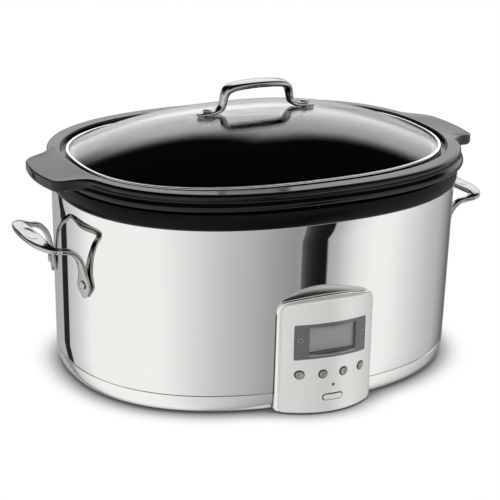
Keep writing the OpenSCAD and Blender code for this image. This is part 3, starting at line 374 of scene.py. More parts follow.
def add(tree, kind, inputs=None, **settings):
    """Adds one shader node, sets it and links its inputs."""
    made = tree.nodes.new("ShaderNode" + kind)
    for key, value in settings.items():
        setattr(made, key, value)
    for key, value in (inputs or {}).items():
        if isinstance(value, bpy.types.NodeSocket):
            tree.links.new(value, made.inputs[key])
        else:
            made.inputs[key].default_value = value
    return made


def maths(tree, operation, *values):
    return add(tree, "Math", dict(enumerate(values)), operation=operation).outputs[0]


def mapped(tree, value, start, end, low=0.0, high=1.0, **settings):
    """Value taken from start..end to low..high, and held beyond them."""
    return add(tree, "MapRange", {"Value": value, "From Min": start, "From Max": end, "To Min": low,
                                  "To Max": high}, **settings).outputs["Result"]


def mixed(tree, factor, one, two, blend="MIX"):
    return add(tree, "MixRGB", {"Fac": factor, "Color1": one, "Color2": two}, blend_type=blend).outputs[0]


def noise(tree, place, size, detail):
    """Clouds that are so many millimetres wide."""
    return add(tree, "TexNoise", {"Vector": place, "Scale": per_mm(size), "Detail": detail}).outputs["Fac"]


def ramp(tree, factor, stops):
    """Colour ramp through stops of (place, grey or colour)."""
    made = add(tree, "ValToRGB", {"Fac": factor})
    elements = made.color_ramp.elements
    while len(elements) < len(stops):
        elements.new(0.5)
    for element, (place, value) in zip(elements, stops):
        element.position = place
        element.color = (*value, 1) if isinstance(value, tuple) else (value, value, value, 1)
    return made.outputs["Color"]


def new_tree(owner):
    """Empty node tree of a material or a world."""
    owner.use_nodes = True
    owner.node_tree.nodes.clear()
    return owner.node_tree


def new_material():
    """Empty procedural material: (material, node tree, Principled shader, object coordinates)."""
    made = bpy.data.materials.new("finish")
    tree = new_tree(made)
    shader = add(tree, "BsdfPrincipled")
    add(tree, "OutputMaterial", {"Surface": shader.outputs["BSDF"]})
    return made, tree, shader, add(tree, "TexCoord").outputs["Object"]


def clouded(tree, cloud, tint, depth):
    """The tint, varied up and down by the depth over a cloud."""
    dark, light = (tuple(min(1.0, c * f) for c in tint) for f in (1 - depth, 1 + depth))
    return ramp(tree, cloud, [(0.3, dark), (0.7, light)])


def finish(tint, rough, metallic=0.0, mottle=(30, 0.05), grain=(1.0, 0.0), rough_swing=0.1,
           stretch=(1, 1, 1), coat=0.0, coat_rough=0.05, level=0.5, ior=1.5, painted_near_shade=0, see_through=0.0):
    """Surface of one real material: its colour varies over the mottle (size in mm, share), and its grain
    (size in mm, depth in mm) roughens it. stretch draws both out along an axis for brushed or rolled
    surfaces. The shade distance is the distance in mm within which ambient occlusion darkens the colour:
    painted shade in place of the table's shadow mirrored in the surface."""
    made, tree, shader, place = new_material()
    tint = linear(tint) if isinstance(tint, str) else tuple(tint)
    stretched = add(tree, "Mapping", {"Vector": place, "Scale": stretch}).outputs["Vector"]
    tone = clouded(tree, noise(tree, stretched, mottle[0], 3.0), tint, mottle[1])
    # Painted shade: ambient occlusion darkens the colour near other surfaces.
    if painted_near_shade:
        around = add(tree, "AmbientOcclusion", {"Distance": painted_near_shade * MM}, samples=8).outputs["AO"]
        shade = ramp(tree, around, [(0.25, 0.25), (0.5, 0.75), (0.72, 1.0)])
        tone = mixed(tree, 1.0, tone, shade, "MULTIPLY")
    fine = noise(tree, stretched, grain[0], 2.0)
    swing = mapped(tree, fine, 0.25, 0.75, rough * (1 - rough_swing), rough * (1 + rough_swing))
    tree.links.new(tone, shader.inputs["Base Color"])
    tree.links.new(swing, shader.inputs["Roughness"])
    if grain[1] > 0:
        bump = add(tree, "Bump", {"Height": fine, "Strength": 1.0, "Distance": grain[1] * MM})
        tree.links.new(bump.outputs["Normal"], shader.inputs["Normal"])
    values = {"Metallic": metallic, "Coat Weight": coat, "Coat Roughness": coat_rough,
              "Transmission Weight": see_through}
    if metallic < 0.5:
        values.update({"Specular IOR Level": level, "IOR": ior})
    for key, value in values.items():
        shader.inputs[key].default_value = value
    return made


def make_materials(colours):
    """One material per real finish. The visible ones take their colour from the settings."""
    MATERIALS.update({
        # Mirror-polished stainless sheet: sharp reflections, with the faint haze of buffing.
        "polished_stainless": finish(colours.steel, 0.022, 1.0, (60, 0.012), (2.5, 0.0), 0.5, (1, 1, 0.12)),
        # Cast and buffed stainless: the same metal, softer round its edges.
        "buffed_cast_stainless": finish("#ADACAA", 0.12, 1.0, (25, 0.02), (3, 0.004), 0.35),
        # Silver-painted ABS with a clear coat: satin, with a fine sparkle.
        "satin_silver_abs": finish(
            colours.satin, 0.36, 0.3, (40, 0.01), (0.5, 0.001), 0.12, coat=0.15, coat_rough=0.2),
        # Satin-rolled stainless of the base ring: soft reflections drawn out along the rolling, and painted
        # shade that darkens its colour near the table.
        "satin_stainless": finish(
            colours.satin, 0.2, 0.9, (40, 0.02), (0.8, 0.001), 0.3, (1, 1, 6), painted_near_shade=9),
        # Satin-chromed button caps: mid-grey, with a soft glint.
        "satin_chromed_abs": finish("#9C9B99", 0.3, 0.8, (5, 0.02), (1, 0.0), 0.3),
        # Black glazed stoneware: deep and glossy, with the faint ripple of a fired glaze.
        "glazed_stoneware": finish(colours.stoneware, 0.14, 0.0, (14, 0.2), (6, 0.006), 0.2, level=0.34),
        # Moulded phenolic collar: near-black and semi-matt, with the mould's fine grain.
        "moulded_phenolic": finish(colours.collar, 0.22, 0.0, (20, 0.2), (0.6, 0.002), 0.2, level=0.1),
        # Tempered glass: clear and smooth, and faintly grey where it is seen edge on.
        "tempered_glass": finish(
            colours.glass, 0.012, 0.0, (80, 0.004), (60, 0.0), 0.3, see_through=1.0, ior=1.46),
        # LCD that is off: pale grey and half matt under its polariser.
        "lcd_polariser": finish("#C0C1BF", 0.32, 0.0, (9, 0.03), (0.4, 0.0), 0.1),
        # Bezel round the LCD: matt grey plastic.
        "moulded_grey_bezel": finish("#77797A", 0.4, 0.0, (4, 0.04), (0.4, 0.002)),
        # Amber lens of an indicator that is off: dark and glossy.
        "amber_lens": finish("#2E2620", 0.12, 0.0, (2, 0.1), (0.6, 0.0), coat=1.0),
        # Red lens of the power light when off: nearly black, glossy.
        "red_lens": finish("#3A2423", 0.12, 0.0, (2, 0.1), (0.6, 0.0), coat=1.0),
        # Light printed ring round an indicator; also the painted highlight line under the LCD.
        "printed_ring": finish("#9FA1A2", 0.35, 0.0, (2, 0.05), (0.3, 0.0)),
        # Zinc-plated steel: grey with a cool bloom.
        "zinc_plated_steel": finish("#A9ABAD", 0.34, 1.0, (9, 0.12), (1.2, 0.006), 0.25),
        # Deep-drawn aluminium of the well: satin, with fine drawing lines up its sides.
        "drawn_aluminium": finish("#C6C7C8", 0.3, 1.0, (30, 0.05), (0.9, 0.004), 0.25, (1, 1, 0.15)),
        # Etched heating foil behind mica: coppery, dull.
        "heater_foil": finish("#9C7B4E", 0.42, 0.8, (6, 0.15), (1.5, 0.02)),
        # Glass-fibre felt: pale, matt and woolly.
        "glass_fibre_felt": finish("#D8CDB4", 0.95, 0.0, (7, 0.12), (1.2, 0.25)),
        # Glazed ceramic of the fuse: white with a soft shine.
        "white_ceramic": finish("#E9E4D8", 0.25, 0.0, (8, 0.03), (1, 0.004)),
        # Epoxy circuit board under solder mask: green weave, glossy.
        "solder_mask_board": finish("#1F5A36", 0.28, 0.0, (3, 0.12), (0.8, 0.01)),
        # Natural nylon: milky and waxy.
        "natural_nylon": finish("#DEDACB", 0.42, 0.0, (6, 0.05), (0.9, 0.01)),
        # Black epoxy and phenolic of small components.
        "black_epoxy": finish("#232425", 0.45, 0.0, (5, 0.12), (0.7, 0.01)),
        # Taped transformer winding: ochre tape, dull.
        "wound_transformer": finish("#B79A55", 0.5, 0.0, (5, 0.1), (1.0, 0.05), stretch=(1, 1, 5)),
        # Shrink-sleeved capacitor: blue and slick.
        "blue_sleeve": finish("#264C86", 0.28, 0.0, (6, 0.05), (1.5, 0.01)),
        # Green moulded terminal block.
        "green_polyamide": finish("#2E7A4A", 0.4, 0.0, (5, 0.06), (0.9, 0.01)),
        # Silicone-insulated lead: red, rubbery.
        "red_silicone": finish("#8E2320", 0.5, 0.0, (6, 0.06), (0.8, 0.01)),
        # Ribbon cable: grey vinyl with its conductors' ridges.
        "grey_ribbon_vinyl": finish("#8D8F90", 0.45, 0.0, (6, 0.05), (1.27, 0.08)),
        # Moulded rubber of the feet and the cord's gland: black and matt. Also the dark strips of painted
        # shade in the gaps round the pod and its buttons.
        "moulded_rubber": finish("#161617", 0.6, 0.0, (5, 0.15), (0.8, 0.02)),
        # Silicone washer under the glass: milky white.
        "white_silicone": finish("#D9D9D4", 0.5, 0.0, (6, 0.04), (0.8, 0.01)),
        "smoked_acrylic": smoked_window_material(colours),
    })
    for name, made in MATERIALS.items():
        made.name = name


def smoked_window_material(colours):
    """Smoked acrylic, printed grey on its back but for a clear field in front of the LCD: glossy grey,
    with the display showing through."""
    pod = Millimetres(bpy.context.scene.cooker_pod)
    made, tree, shader, place = new_material()
    split = add(tree, "SeparateXYZ", {"Vector": place})
    mask_overlap, edge, clear_alpha = 0.4, 0.25, 0.3
    fields = []
    for axis, middle, size in (("X", 0.0, pod.lcd_width), ("Z", pod.window_z, pod.lcd_height)):
        away = maths(tree, "ABSOLUTE", maths(tree, "SUBTRACT", split.outputs[axis], middle * MM))
        reach = size / 2 - mask_overlap
        fields.append(mapped(tree, away, (reach - edge) * MM, (reach + edge) * MM, 1.0, 0.0))
    clear = maths(tree, "MULTIPLY", *fields)
    tone = clouded(tree, noise(tree, place, 12, 2.0), colours.window, 0.06)
    tree.links.new(tone, shader.inputs["Base Color"])
    tree.links.new(mapped(tree, clear, 0.0, 1.0, 1.0, clear_alpha), shader.inputs["Alpha"])
    shader.inputs["Roughness"].default_value = 0.12
    shader.inputs["IOR"].default_value = 1.49
    return made


# ---- body ----


def wall_axes(body, z):
    """Half length and half depth of the wall at the height z."""
    inward = body.draft * (body.top - z)
    return body.half_length - inward, body.half_depth - inward


def wall_x(body, y, z):
    """Half length of the wall at the distance y from the long axis."""
    (a, b), n = wall_axes(body, z), body.squareness
    return a * (1 - (np.abs(y) / b) ** n) ** (1 / n)


def wall_y(body, x, z):
    """Half depth of the wall, or of the base ring below it, at the length x."""
    bottom, n = body.ring_bottom, body.squareness
    tuck = np.interp(z, [bottom, bottom + 0.35 * (body.seam - bottom), body.seam],
                     [body.ring_tuck, 0.45 * body.ring_tuck, 0])
    a, b = (axis - tuck for axis in wall_axes(body, z))
    return b * (1 - (np.abs(x) / a) ** n) ** (1 / n)


class COOKER_OT_wall(bpy.types.Operator):
    """Builds the polished steel wall"""

    bl_idname = "cooker.wall"
    bl_label = "Steel wall"

    def execute(self, context):
        body = Millimetres(context.scene.cooker_body)
        low, high, sheet = body.seam + 0.45, body.top, body.wall
        roll = 0.4
        a, b = wall_axes(body, low)
        rise = wall_axes(body, high)[0] - a
        outer = [(roll, low - 0.25), (0.12, low)]
        outer += [(-rise * f, low + (high - roll - low) * f) for f in np.linspace(0.004, 1, 12)]
        top = quarter((-rise, high - roll), (-rise + sheet / 2, high), (-rise + sheet / 2, high - roll), 4)
        inner = [(-rise + sheet, high - roll), (sheet, low)]
        rings = ovals(a, b, outer + top[1:] + inner, body.squareness)
        piece("steel_wall", lofted(rings, wrap=True), "base", "polished_stainless",
              ("housing_wall",))
        return {"FINISHED"}


class COOKER_OT_collar(bpy.types.Operator):
    """Builds the black collar between the wall and the crock"""

    bl_idname = "cooker.collar"
    bl_label = "Collar"

    def execute(self, context):
        body = Millimetres(context.scene.cooker_body)
        crock = Millimetres(context.scene.cooker_crock)
        top, height, bulge = body.top, body.collar_height, body.collar_bulge
        a, b = body.half_length, body.half_depth
        skirt, skirt_depth = 1.2, 6
        outer = smoothed([
            (0.15, top + 0.05), (-0.6 * bulge, top + 0.1 * height), (-bulge, top + 0.35 * height),
            (-bulge, top + 0.6 * height), (-0.5 * bulge, top + 0.86 * height)], 5)
        rim = quarter(tuple(outer[-1]), (1.4 * bulge, top + height), (1.4 * bulge, top + 0.86 * height), 5)
        profile = [(skirt, top - skirt_depth), (skirt, top + 0.05)] + [tuple(p) for p in outer] + rim[1:]
        rings = ovals(a, b, profile, body.squareness)
        inner_a, inner_b = body.well_half_length + 0.2, body.well_half_depth + 0.2
        rings += [oval(inner_a, inner_b, z, crock.squareness) for z in (top + height, top - skirt_depth)]
        piece("collar_moulding", lofted(rings, wrap=True), "base", "moulded_phenolic",
              ("housing_collar",))
        return {"FINISHED"}


class COOKER_OT_base_ring(bpy.types.Operator):
    """Builds the satin base ring below the seam"""

    bl_idname = "cooker.base_ring"
    bl_label = "Base ring"

    def execute(self, context):
        body = Millimetres(context.scene.cooker_body)
        bottom, seam, wall = body.ring_bottom, body.seam, body.ring_wall
        rise, flange = seam - bottom, 14
        low = body.ring_tuck + body.draft * rise
        outer = smoothed([
            (low + 1.6, bottom), (low + 0.3, bottom + 1.2), (0.45 * low, bottom + 0.35 * rise),
            (0.12 * low, bottom + 0.7 * rise), (0.04, seam - 0.5)], 5)
        profile = [(low + flange, bottom)] + [tuple(p) for p in outer]
        profile += [
            (0.35, seam - 0.05), (1.1, seam), (1.1, seam + 5), (3.2, seam + 5), (wall + 0.5, seam - 2),
            (wall + 0.6 * low, bottom + 6), (low + wall + 1, bottom + wall), (low + flange, bottom + wall)]
        rings = ovals(*wall_axes(body, seam), profile, body.squareness)
        piece("base_ring_trim", lofted(rings, wrap=True), "base", "satin_stainless",
              ("base_ring",))
        return {"FINISHED"}


class COOKER_OT_well(bpy.types.Operator):
    """Builds the drawn aluminium heating well"""

    bl_idname = "cooker.well"
    bl_label = "Heating well"

    def execute(self, context):
        body = Millimetres(context.scene.cooker_body)
        crock = Millimetres(context.scene.cooker_crock)
        top = body.top + body.collar_height
        outside = tub_profile(crock, body.well_floor - 1, crock.corner + 1, top - 0.9)
        inside = tub_profile(crock, body.well_floor, crock.corner, top + 0.1)
        a, b = body.well_half_length, body.well_half_depth
        rim = quarter((0, top - 0.9), (-4.5, top + 0.05), (-4.5, top - 0.9), 4)
        rim += quarter((-5, top + 0.5), (-4, top + 1), (-4, top + 0.5), 3)
        rim += quarter((0.2, top + 1), (1, top), (0.2, top), 3)
        n = crock.squareness
        rings = centre_rings(a, b, outside[0], n) + ovals(a, b, outside + rim, n)
        rings += ovals(a - 1, b - 1, inside[::-1], n) + centre_rings(a - 1, b - 1, inside[0], n)[::-1]
        piece("aluminium_well", lofted(rings), "base", "drawn_aluminium",
              ("heating_well",))
        return {"FINISHED"}


def crock_inset(crock, z):
    """Width by which the crock draws in from its flange down to the height z."""
    return 0.1 * (crock.flange_bottom - z)


def tub_profile(crock, bottom, corner, top):
    """(inset, height) up the outside of the crock or the well, from the edge of its floor."""
    base = crock_inset(crock, bottom + corner)
    angles = np.linspace(0, pi / 2, 11)
    round_part = [(base + corner * (1 - sin(t)), bottom + corner * (1 - cos(t))) for t in angles]
    heights = np.linspace(bottom + corner, top, 9)[1:]
    return round_part + [(crock_inset(crock, z), z) for z in heights]


def centre_rings(a, b, edge, squareness, turns=EVEN_TURNS):
    """Rings from the middle of a flat floor out to near its edge."""
    inset, z = edge
    shares = (0.01, 0.3, 0.6, 0.85, 0.97)
    return [oval((a - inset) * f, (b - inset) * f, z, squareness, turns) for f in shares]


# ---- crock ----


def arc(middle, radius, start, end, steps):
    """Points of a flat arc from one angle to the other."""
    angles = np.linspace(start, end, steps + 1)
    return np.asarray(middle) + radius * np.column_stack([np.cos(angles), np.sin(angles)])


class EaredOutline:
    """The flange's outline seen from above, with and without its two ears, point for point."""

    def __init__(self, crock, side_points=150, ear_points=61):
        a, b, n = crock.flange_half_length, crock.flange_half_depth, crock.squareness
        corner, blend = crock.ear_corner, crock.ear_blend
        corner_y = crock.ear_half_width - corner
        bow_x = crock.ear_reach - crock.ear_bow
        corner_middle = np.array([bow_x + sqrt((crock.ear_bow - corner) ** 2 - corner_y ** 2), corner_y])
        low, high = radians(5), radians(40)
        for _ in range(30):
            turn = (low + high) / 2
            touch = np.array([a * cos(turn) ** (2 / n), b * sin(turn) ** (2 / n)])
            out = np.array([(touch[0] / a) ** (n - 1) / a, (touch[1] / b) ** (n - 1) / b])
            blend_middle = touch + blend * out / np.linalg.norm(out)
            if np.linalg.norm(blend_middle - corner_middle) > blend + corner:
                high = turn
            else:
                low = turn
        bow_end = asin(corner_y / (crock.ear_bow - corner))
        meet = atan2(*(blend_middle - corner_middle)[::-1])
        blend_end = pi + atan2(*(blend_middle - touch)[::-1])
        path = np.vstack([
            arc((bow_x, 0), crock.ear_bow, 0, bow_end, 20), arc(corner_middle, corner, bow_end, meet, 24)[1:],
            arc(blend_middle, blend, pi + meet, blend_end, 30)[1:]])[::-1]
        steps = way_along(path)
        places = np.linspace(0, steps[-1], ear_points)
        half = np.column_stack([np.interp(places, steps, path[:, k]) for k in (0, 1)])
        ear = np.vstack([half * [1, -1], half[::-1][1:]])
        along = np.concatenate([places, places[::-1][1:]])
        ear_turns = np.linspace(-turn, turn, len(ear))
        side_turns = np.linspace(turn, pi - turn, side_points + 2)[1:-1]
        self.turns = np.concatenate([ear_turns, side_turns, ear_turns + pi, side_turns + pi])
        self.plain = oval(a, b, 0, n, self.turns)[:, :2]
        front = self.plain[len(ear):len(ear) + side_points]
        back = self.plain[2 * len(ear) + side_points:]
        self.eared = np.vstack([ear, front, -ear, back])
        weight = np.concatenate([blend_in(along, 2, 24), np.zeros(side_points)] * 2)
        drop = np.tan(crock.ear_slope) * np.maximum(ear[:, 0] - touch[0], 0)
        self.weight = weight[:, None]
        self.drop = np.tile(np.concatenate([drop, np.zeros(side_points)]), 2)
        self.plain_out = loop_normals(self.plain)
        self.eared_out = loop_normals(self.eared)

    def ring(self, z, plain_inset, ear_inset, eared):
        """Ring at the height z. eared goes from 0, plain oval, to 1, with ears."""
        inset = plain_inset + (ear_inset - plain_inset) * self.weight
        plain = self.plain - self.plain_out * plain_inset
        with_ears = self.eared - self.eared_out * inset
        flat = plain + (with_ears - plain) * eared
        return np.column_stack([flat, z - self.drop * eared])


class COOKER_OT_crock(bpy.types.Operator):
    """Builds the stoneware crock with its flange and ears"""

    bl_idname = "cooker.crock"
    bl_label = "Crock"

    def execute(self, context):
        crock = Millimetres(context.scene.cooker_crock)
        outline = EaredOutline(crock)
        n, turns = crock.squareness, outline.turns
        a, b = crock.half_length, crock.half_depth
        low, top = crock.flange_bottom, crock.flange_top
        height = top - low
        outside = tub_profile(crock, crock.bottom, crock.corner, low)
        rings = centre_rings(a, b, outside[0], n, turns) + ovals(a, b, outside, n, turns)

        step, least = 2.5, 0.15
        edge = smoothed([
            (3.5, 0), (1, 0.05), (0.15, 0.16), (0.6, 0.32), (step, 0.42), (step + 1.4, 0.52),
            (step + 1, 0.64), (step, 0.82), (step + 1, 0.94), (step + 3.5, 1)], 5)
        edge[:, 1] = low + edge[:, 1] * height
        edge[:, 0] = np.maximum(edge[:, 0], least)
        ear_low = top - crock.ear_thickness
        round_low, round_top = 4.0, 1.3
        below = [p for p in edge if p[1] < ear_low]
        above = [p for p in edge if p[1] > ear_low + 0.1]
        seat = float(np.interp(ear_low, edge[:, 1], edge[:, 0]))
        rings += [outline.ring(z, inset, 0, 0) for inset, z in below]
        rings += [outline.ring(ear_low, seat, round_low + 0.6, f) for f in (0, 0.35, 0.7, 1)]
        for inset, z in above:
            ear_inset = least
            for away, radius in ((z - ear_low, round_low), (top - z, round_top)):
                if away < radius:
                    ear_inset += radius * (1 - sqrt(max(0, 1 - (1 - away / radius) ** 2)))
            rings.append(outline.ring(z, inset, ear_inset, 1))

        edge_ring = rings[-1]
        recess_edge = oval(crock.recess_half_length + 1.2, crock.recess_half_depth + 1.2, top, n, turns)
        rings += [edge_ring + (recess_edge - edge_ring) * f for f in (0.06, 0.35, 0.65, 0.94)]
        recess = quarter((-1.2, top), (0, top - 1.2), (-1.2, top - 1.2), 4)
        recess += [(0.5, crock.ledge + 1.2)] + quarter(
            (0.5, crock.ledge + 1.2), (1.7, crock.ledge), (1.7, crock.ledge + 1.2), 4)[1:]
        rings += ovals(crock.recess_half_length, crock.recess_half_depth, recess, n, turns)
        opening_a, opening_b = a - crock.wall, b - crock.wall
        mouth = quarter((-2, crock.ledge), (0, crock.ledge - 2), (-2, crock.ledge - 2), 5)
        rings += ovals(opening_a, opening_b, mouth, n, turns)
        inside = tub_profile(crock, crock.bottom + crock.floor, crock.corner - crock.wall, low)
        rings += ovals(opening_a, opening_b, inside[::-1], n, turns)
        rings += centre_rings(opening_a, opening_b, inside[0], n, turns)[::-1]
        piece("stoneware_crock", lofted(rings), "crock", "glazed_stoneware",
              ("crock",), sharp=50)
        return {"FINISHED"}


# ---- lid ----


def dome_z(lid, r):
    """Height of the glass's top at the fraction r of its way from the middle to the dome's edge."""
    edge_top = lid.band_top - lid.band_wall - 0.2
    return edge_top + lid.rise * (1 - np.abs(r) ** lid.fullness)


class COOKER_OT_lid_glass(bpy.types.Operator):
    """Builds the tempered glass dome"""

    bl_idname = "cooker.lid_glass"
    bl_label = "Lid glass"

    def execute(self, context):
        lid = Millimetres(context.scene.cooker_lid)
        n = context.scene.cooker_crock.squareness
        inset, edge_inset = lid.lip + 0.2, 0.95
        a, b = lid.half_length - inset, lid.half_depth - inset
        steps = np.sin(np.linspace(0.01, pi / 2, 40))
        top = [oval(a * r, b * r, dome_z(lid, r), n) for r in steps]
        under = [oval(a * r, b * r, dome_z(lid, r) - lid.glass, n) for r in steps]
        edge_a, edge_b = lid.half_length - edge_inset, lid.half_depth - edge_inset
        edge = [oval(edge_a, edge_b, dome_z(lid, 1) - drop, n) for drop in (lid.glass, 0.6 * lid.glass, 0)]
        piece("glass_dome", lofted(under + edge + top[::-1]), "lid", "tempered_glass",
              ("lid_glass",), sharp=60)
        return {"FINISHED"}


class COOKER_OT_lid_band(bpy.types.Operator):
    """Builds the rolled steel band round the glass"""

    bl_idname = "cooker.lid_band"
    bl_label = "Lid band"

    def execute(self, context):
        lid = Millimetres(context.scene.cooker_lid)
        n = context.scene.cooker_crock.squareness
        low, high, lip, sheet = lid.bottom, lid.band_top, lid.lip, lid.band_wall
        soft = 1.3
        profile = quarter((lip, high - 0.35), (lip - 0.35, high), (lip - 0.35, high - 0.35), 3)
        profile += quarter((soft, high), (0, high - soft), (soft, high - soft), 6)
        profile += quarter((0, low + soft), (soft, low), (soft, low + soft), 6)
        profile += [(lip, low), (lip, low + sheet), (sheet + 0.4, low + sheet), (sheet, low + sheet + 0.4),
                    (sheet, high - sheet - 0.4), (sheet + 0.4, high - sheet), (lip, high - sheet)]
        rings = ovals(lid.half_length, lid.half_depth, profile, n)
        piece("lid_band", lofted(rings, wrap=True), "lid", "polished_stainless",
              ("lid_rim",))
        return {"FINISHED"}


# ---- bars: swept handles ----


def swept_bar(stations, steps, sides=40):
    """Bar along stations of (x, y, z, half width, half thickness, heading in degrees, section power).
    A section power of 0.5 is nearly a rounded rectangle, and 1 is an ellipse."""
    path = smoothed(stations, steps)
    turns = tau * (np.arange(sides) + 0.5) / sides
    rings, ends = [], []
    for k, station in enumerate(path):
        place = station[:3]
        along = path[min(k + 1, len(path) - 1)][:3] - path[max(k - 1, 0)][:3]
        along /= np.linalg.norm(along)
        heading = radians(station[5])
        level = np.array([cos(heading), sin(heading), 0.0])
        side = level - along * float(level @ along)
        side /= np.linalg.norm(side)
        up = np.cross(along, side)
        power = station[6]
        across = np.outer(signed_power(np.cos(turns), power), side) * station[3]
        across += np.outer(signed_power(np.sin(turns), power), up) * station[4]
        rings.append(place + across)
        ends.append((place, across, along, station[4]))

    def rounded_end(place, across, along, reach):
        return [place + across * cos(t) + along * reach * sin(t) for t in np.radians([82, 55, 28])]

    first = rounded_end(*ends[0][:3], -ends[0][3])
    last = rounded_end(*ends[-1])[::-1]
    return lofted(first + rings + last)


def wall_heading(body, y, z):
    """Heading of the wall's surface at the distance y, in degrees."""
    return 270 + np.degrees(np.arctan((wall_x(body, y - 1, z) - wall_x(body, y + 1, z)) / 2))


def grip_middle_x(body, handle):
    """Distance of the middle of a side handle's grip from the middle of the body."""
    return body.half_length + handle.reach - handle.grip_width / 2


def side_handle_stations(body, handle):
    """Stations from the middle of the grip to the tip of one foot."""
    grip_x = grip_middle_x(body, handle)
    half_w, half_t = handle.grip_width / 2, handle.thickness / 2
    high, low = handle.height, handle.rivet_height
    drop = high - low
    corner, y = handle.half_length, handle.rivet_y
    tilt = wall_heading(body, y, low)
    wall, foot_x = wall_x(body, y, high), wall_x(body, y, low) + 2.3
    return [
        (grip_x, 0, high, half_w, half_t, 180, 0.5),
        (grip_x, 0.45 * corner, high + 0.3, 0.93 * half_w, half_t, 180, 0.5),
        (grip_x - 1, 0.8 * corner, high + 0.2, 0.72 * half_w, half_t, 190, 0.55),
        (grip_x - 5.5, corner, high - 1, 0.56 * half_w, half_t, 228, 0.6),
        (grip_x - 13.5, corner, high - 3, 0.46 * half_w, half_t, 262, 0.7),
        (wall + 14, (corner + y) / 2 + 1, high - 0.14 * drop, 0.45 * half_w, half_t, 270, 0.75),
        (wall + 6.5, y + 1.5, high - 0.36 * drop, 0.48 * half_w, half_t, tilt, 0.75),
        (wall_x(body, y, low) + 3.6, y + 0.6, high - 0.7 * drop, 0.66 * half_w, 0.9 * half_t, tilt, 0.65),
        (foot_x, y, low, 1.1 * half_w, 0.72 * half_t, tilt, 0.5),
        (foot_x, y, low - 5, 0.95 * half_w, 0.68 * half_t, tilt, 0.5),
        (foot_x - 0.3, y, low - 11.5, 0.32 * half_w, 0.55 * half_t, tilt, 0.55),
    ]


class COOKER_OT_side_handles(bpy.types.Operator):
    """Builds both riveted side handles"""

    bl_idname = "cooker.side_handles"
    bl_label = "Side handles"

    def execute(self, context):
        body = Millimetres(context.scene.cooker_body)
        handle = Millimetres(context.scene.cooker_handles)
        half = side_handle_stations(body, handle)
        far = [(s[0], -s[1], s[2], s[3], s[4], 360 - s[5], s[6]) for s in half[:0:-1]]
        points, faces = swept_bar(far + half, 10)
        points = self.dished(points, body, handle)
        for name, shape in (("right", (points, faces)), ("left", mirrored((points, faces)))):
            piece(name + "_side_handle", shape, "base", "buffed_cast_stainless",
                  (name + "_handle",))
        return {"FINISHED"}

    @staticmethod
    def dished(points, body, handle):
        """Sinks an oval thumb rest into the top of the grip."""
        half_width, half_length, depth = 6.2, 20, 0.8
        x = points[:, 0] - grip_middle_x(body, handle)
        r = np.sqrt((x / half_width) ** 2 + (points[:, 1] / half_length) ** 2)
        on_top = points[:, 2] > handle.height + 0.3 * handle.thickness
        sink = depth * (1 - blend_in(r, 0.72, 1.0)) * on_top
        points = points.copy()
        points[:, 2] -= sink
        return points


class COOKER_OT_rivets(bpy.types.Operator):
    """Builds the domed rivets of the side handles"""

    bl_idname = "cooker.rivets"
    bl_label = "Handle rivets"

    def execute(self, context):
        body = Millimetres(context.scene.cooker_body)
        handle = Millimetres(context.scene.cooker_handles)
        x = wall_x(body, handle.rivet_y, handle.rivet_height)
        lean = radians(wall_heading(body, handle.rivet_y, handle.rivet_height) - 270)
        head, shank, face, tail = handle.rivet_head / 2, 2.4, 4.6, -3.9
        profile = [(0.01, tail), (head, tail), (head, tail + 1), (shank, tail + 1), (shank, face),
                   (head - 0.15, face), (head, face + 0.35), (head - 0.1, face + 0.6)]
        profile += rivet_crown(head, face + 0.6)
        shapes = [turned(profile, (side * x, end * handle.rivet_y, handle.rivet_height),
                         (side * cos(lean), end * sin(lean), 0)) for side in (-1, 1) for end in (-1, 1)]
        piece("rivet_domes", joined(*shapes), "base", "buffed_cast_stainless",
              ("handle_rivets",))
        return {"FINISHED"}


class COOKER_OT_lid_handle(bpy.types.Operator):
    """Builds the arched lid handle and its screws"""

    bl_idname = "cooker.lid_handle"
    bl_label = "Lid handle"

    def execute(self, context):
        lid = Millimetres(context.scene.cooker_lid)
        dome_a = lid.half_length - lid.lip - 0.2
        w, t, grip, top = lid.grip_width / 2, lid.grip_thickness / 2, lid.grip_half_length, lid.grip_top
        screw_z = dome_z(lid, lid.screw_x / dome_a)
        bend, pad_inner, pad_tip = grip + 4.5, lid.screw_x - 9, lid.screw_x + 8.5
        pad = screw_z + 0.45 + 0.6 * t
        half = [
            (0, top - t, w, t, 0.6),
            (0.6 * grip, top - t - 0.8, 0.95 * w, t, 0.6),
            (0.92 * grip, top - t - 3, 0.85 * w, t, 0.62),
            (grip + 1.5, top - t - 8, 0.66 * w, 0.95 * t, 0.7),
            (grip + 3, top - t - 15, 0.56 * w, 0.9 * t, 0.75),
            (bend, dome_z(lid, bend / dome_a) + 5.5, 0.52 * w, 0.9 * t, 0.75),
            (pad_inner, dome_z(lid, pad_inner / dome_a) + 2.7, 0.6 * w, 0.7 * t, 0.65),
            (lid.screw_x, pad, 0.78 * w, 0.6 * t, 0.55),
            (pad_tip, dome_z(lid, pad_tip / dome_a) + 1.9, 0.42 * w, 0.45 * t, 0.6),
        ]
        right = [(x, 0, z, hw, ht, 90, p) for x, z, hw, ht, p in half]
        left = [(-s[0],) + s[1:] for s in right[:0:-1]]
        shape = swept_bar(left + right, 10)
        piece("lid_arch_handle", shape, "lid", "buffed_cast_stainless", ("lid_handle",))

        head, shank, face = 4.2, 2, pad + 0.6 * t + 0.05
        tail = screw_z - 11.5 - face
        profile = [(0.01, tail), (shank, tail), (shank, 0), (head - 0.15, 0), (head, 0.3), (head, 0.6)]
        profile += rivet_crown(head, 0.6)
        shapes = [turned(profile, (sx * lid.screw_x, 0, face), (0, 0, 1)) for sx in (-1, 1)]
        piece("lid_screw_domes", joined(*shapes), "lid", "buffed_cast_stainless",
              ("lid_screws",))
        return {"FINISHED"}


# ---- control pod: front views are loops of (x, z), counter-clockwise ----


def inset_loop(loop, distance):
    """The loop drawn in by a distance."""
    return loop - loop_normals(loop) * distance


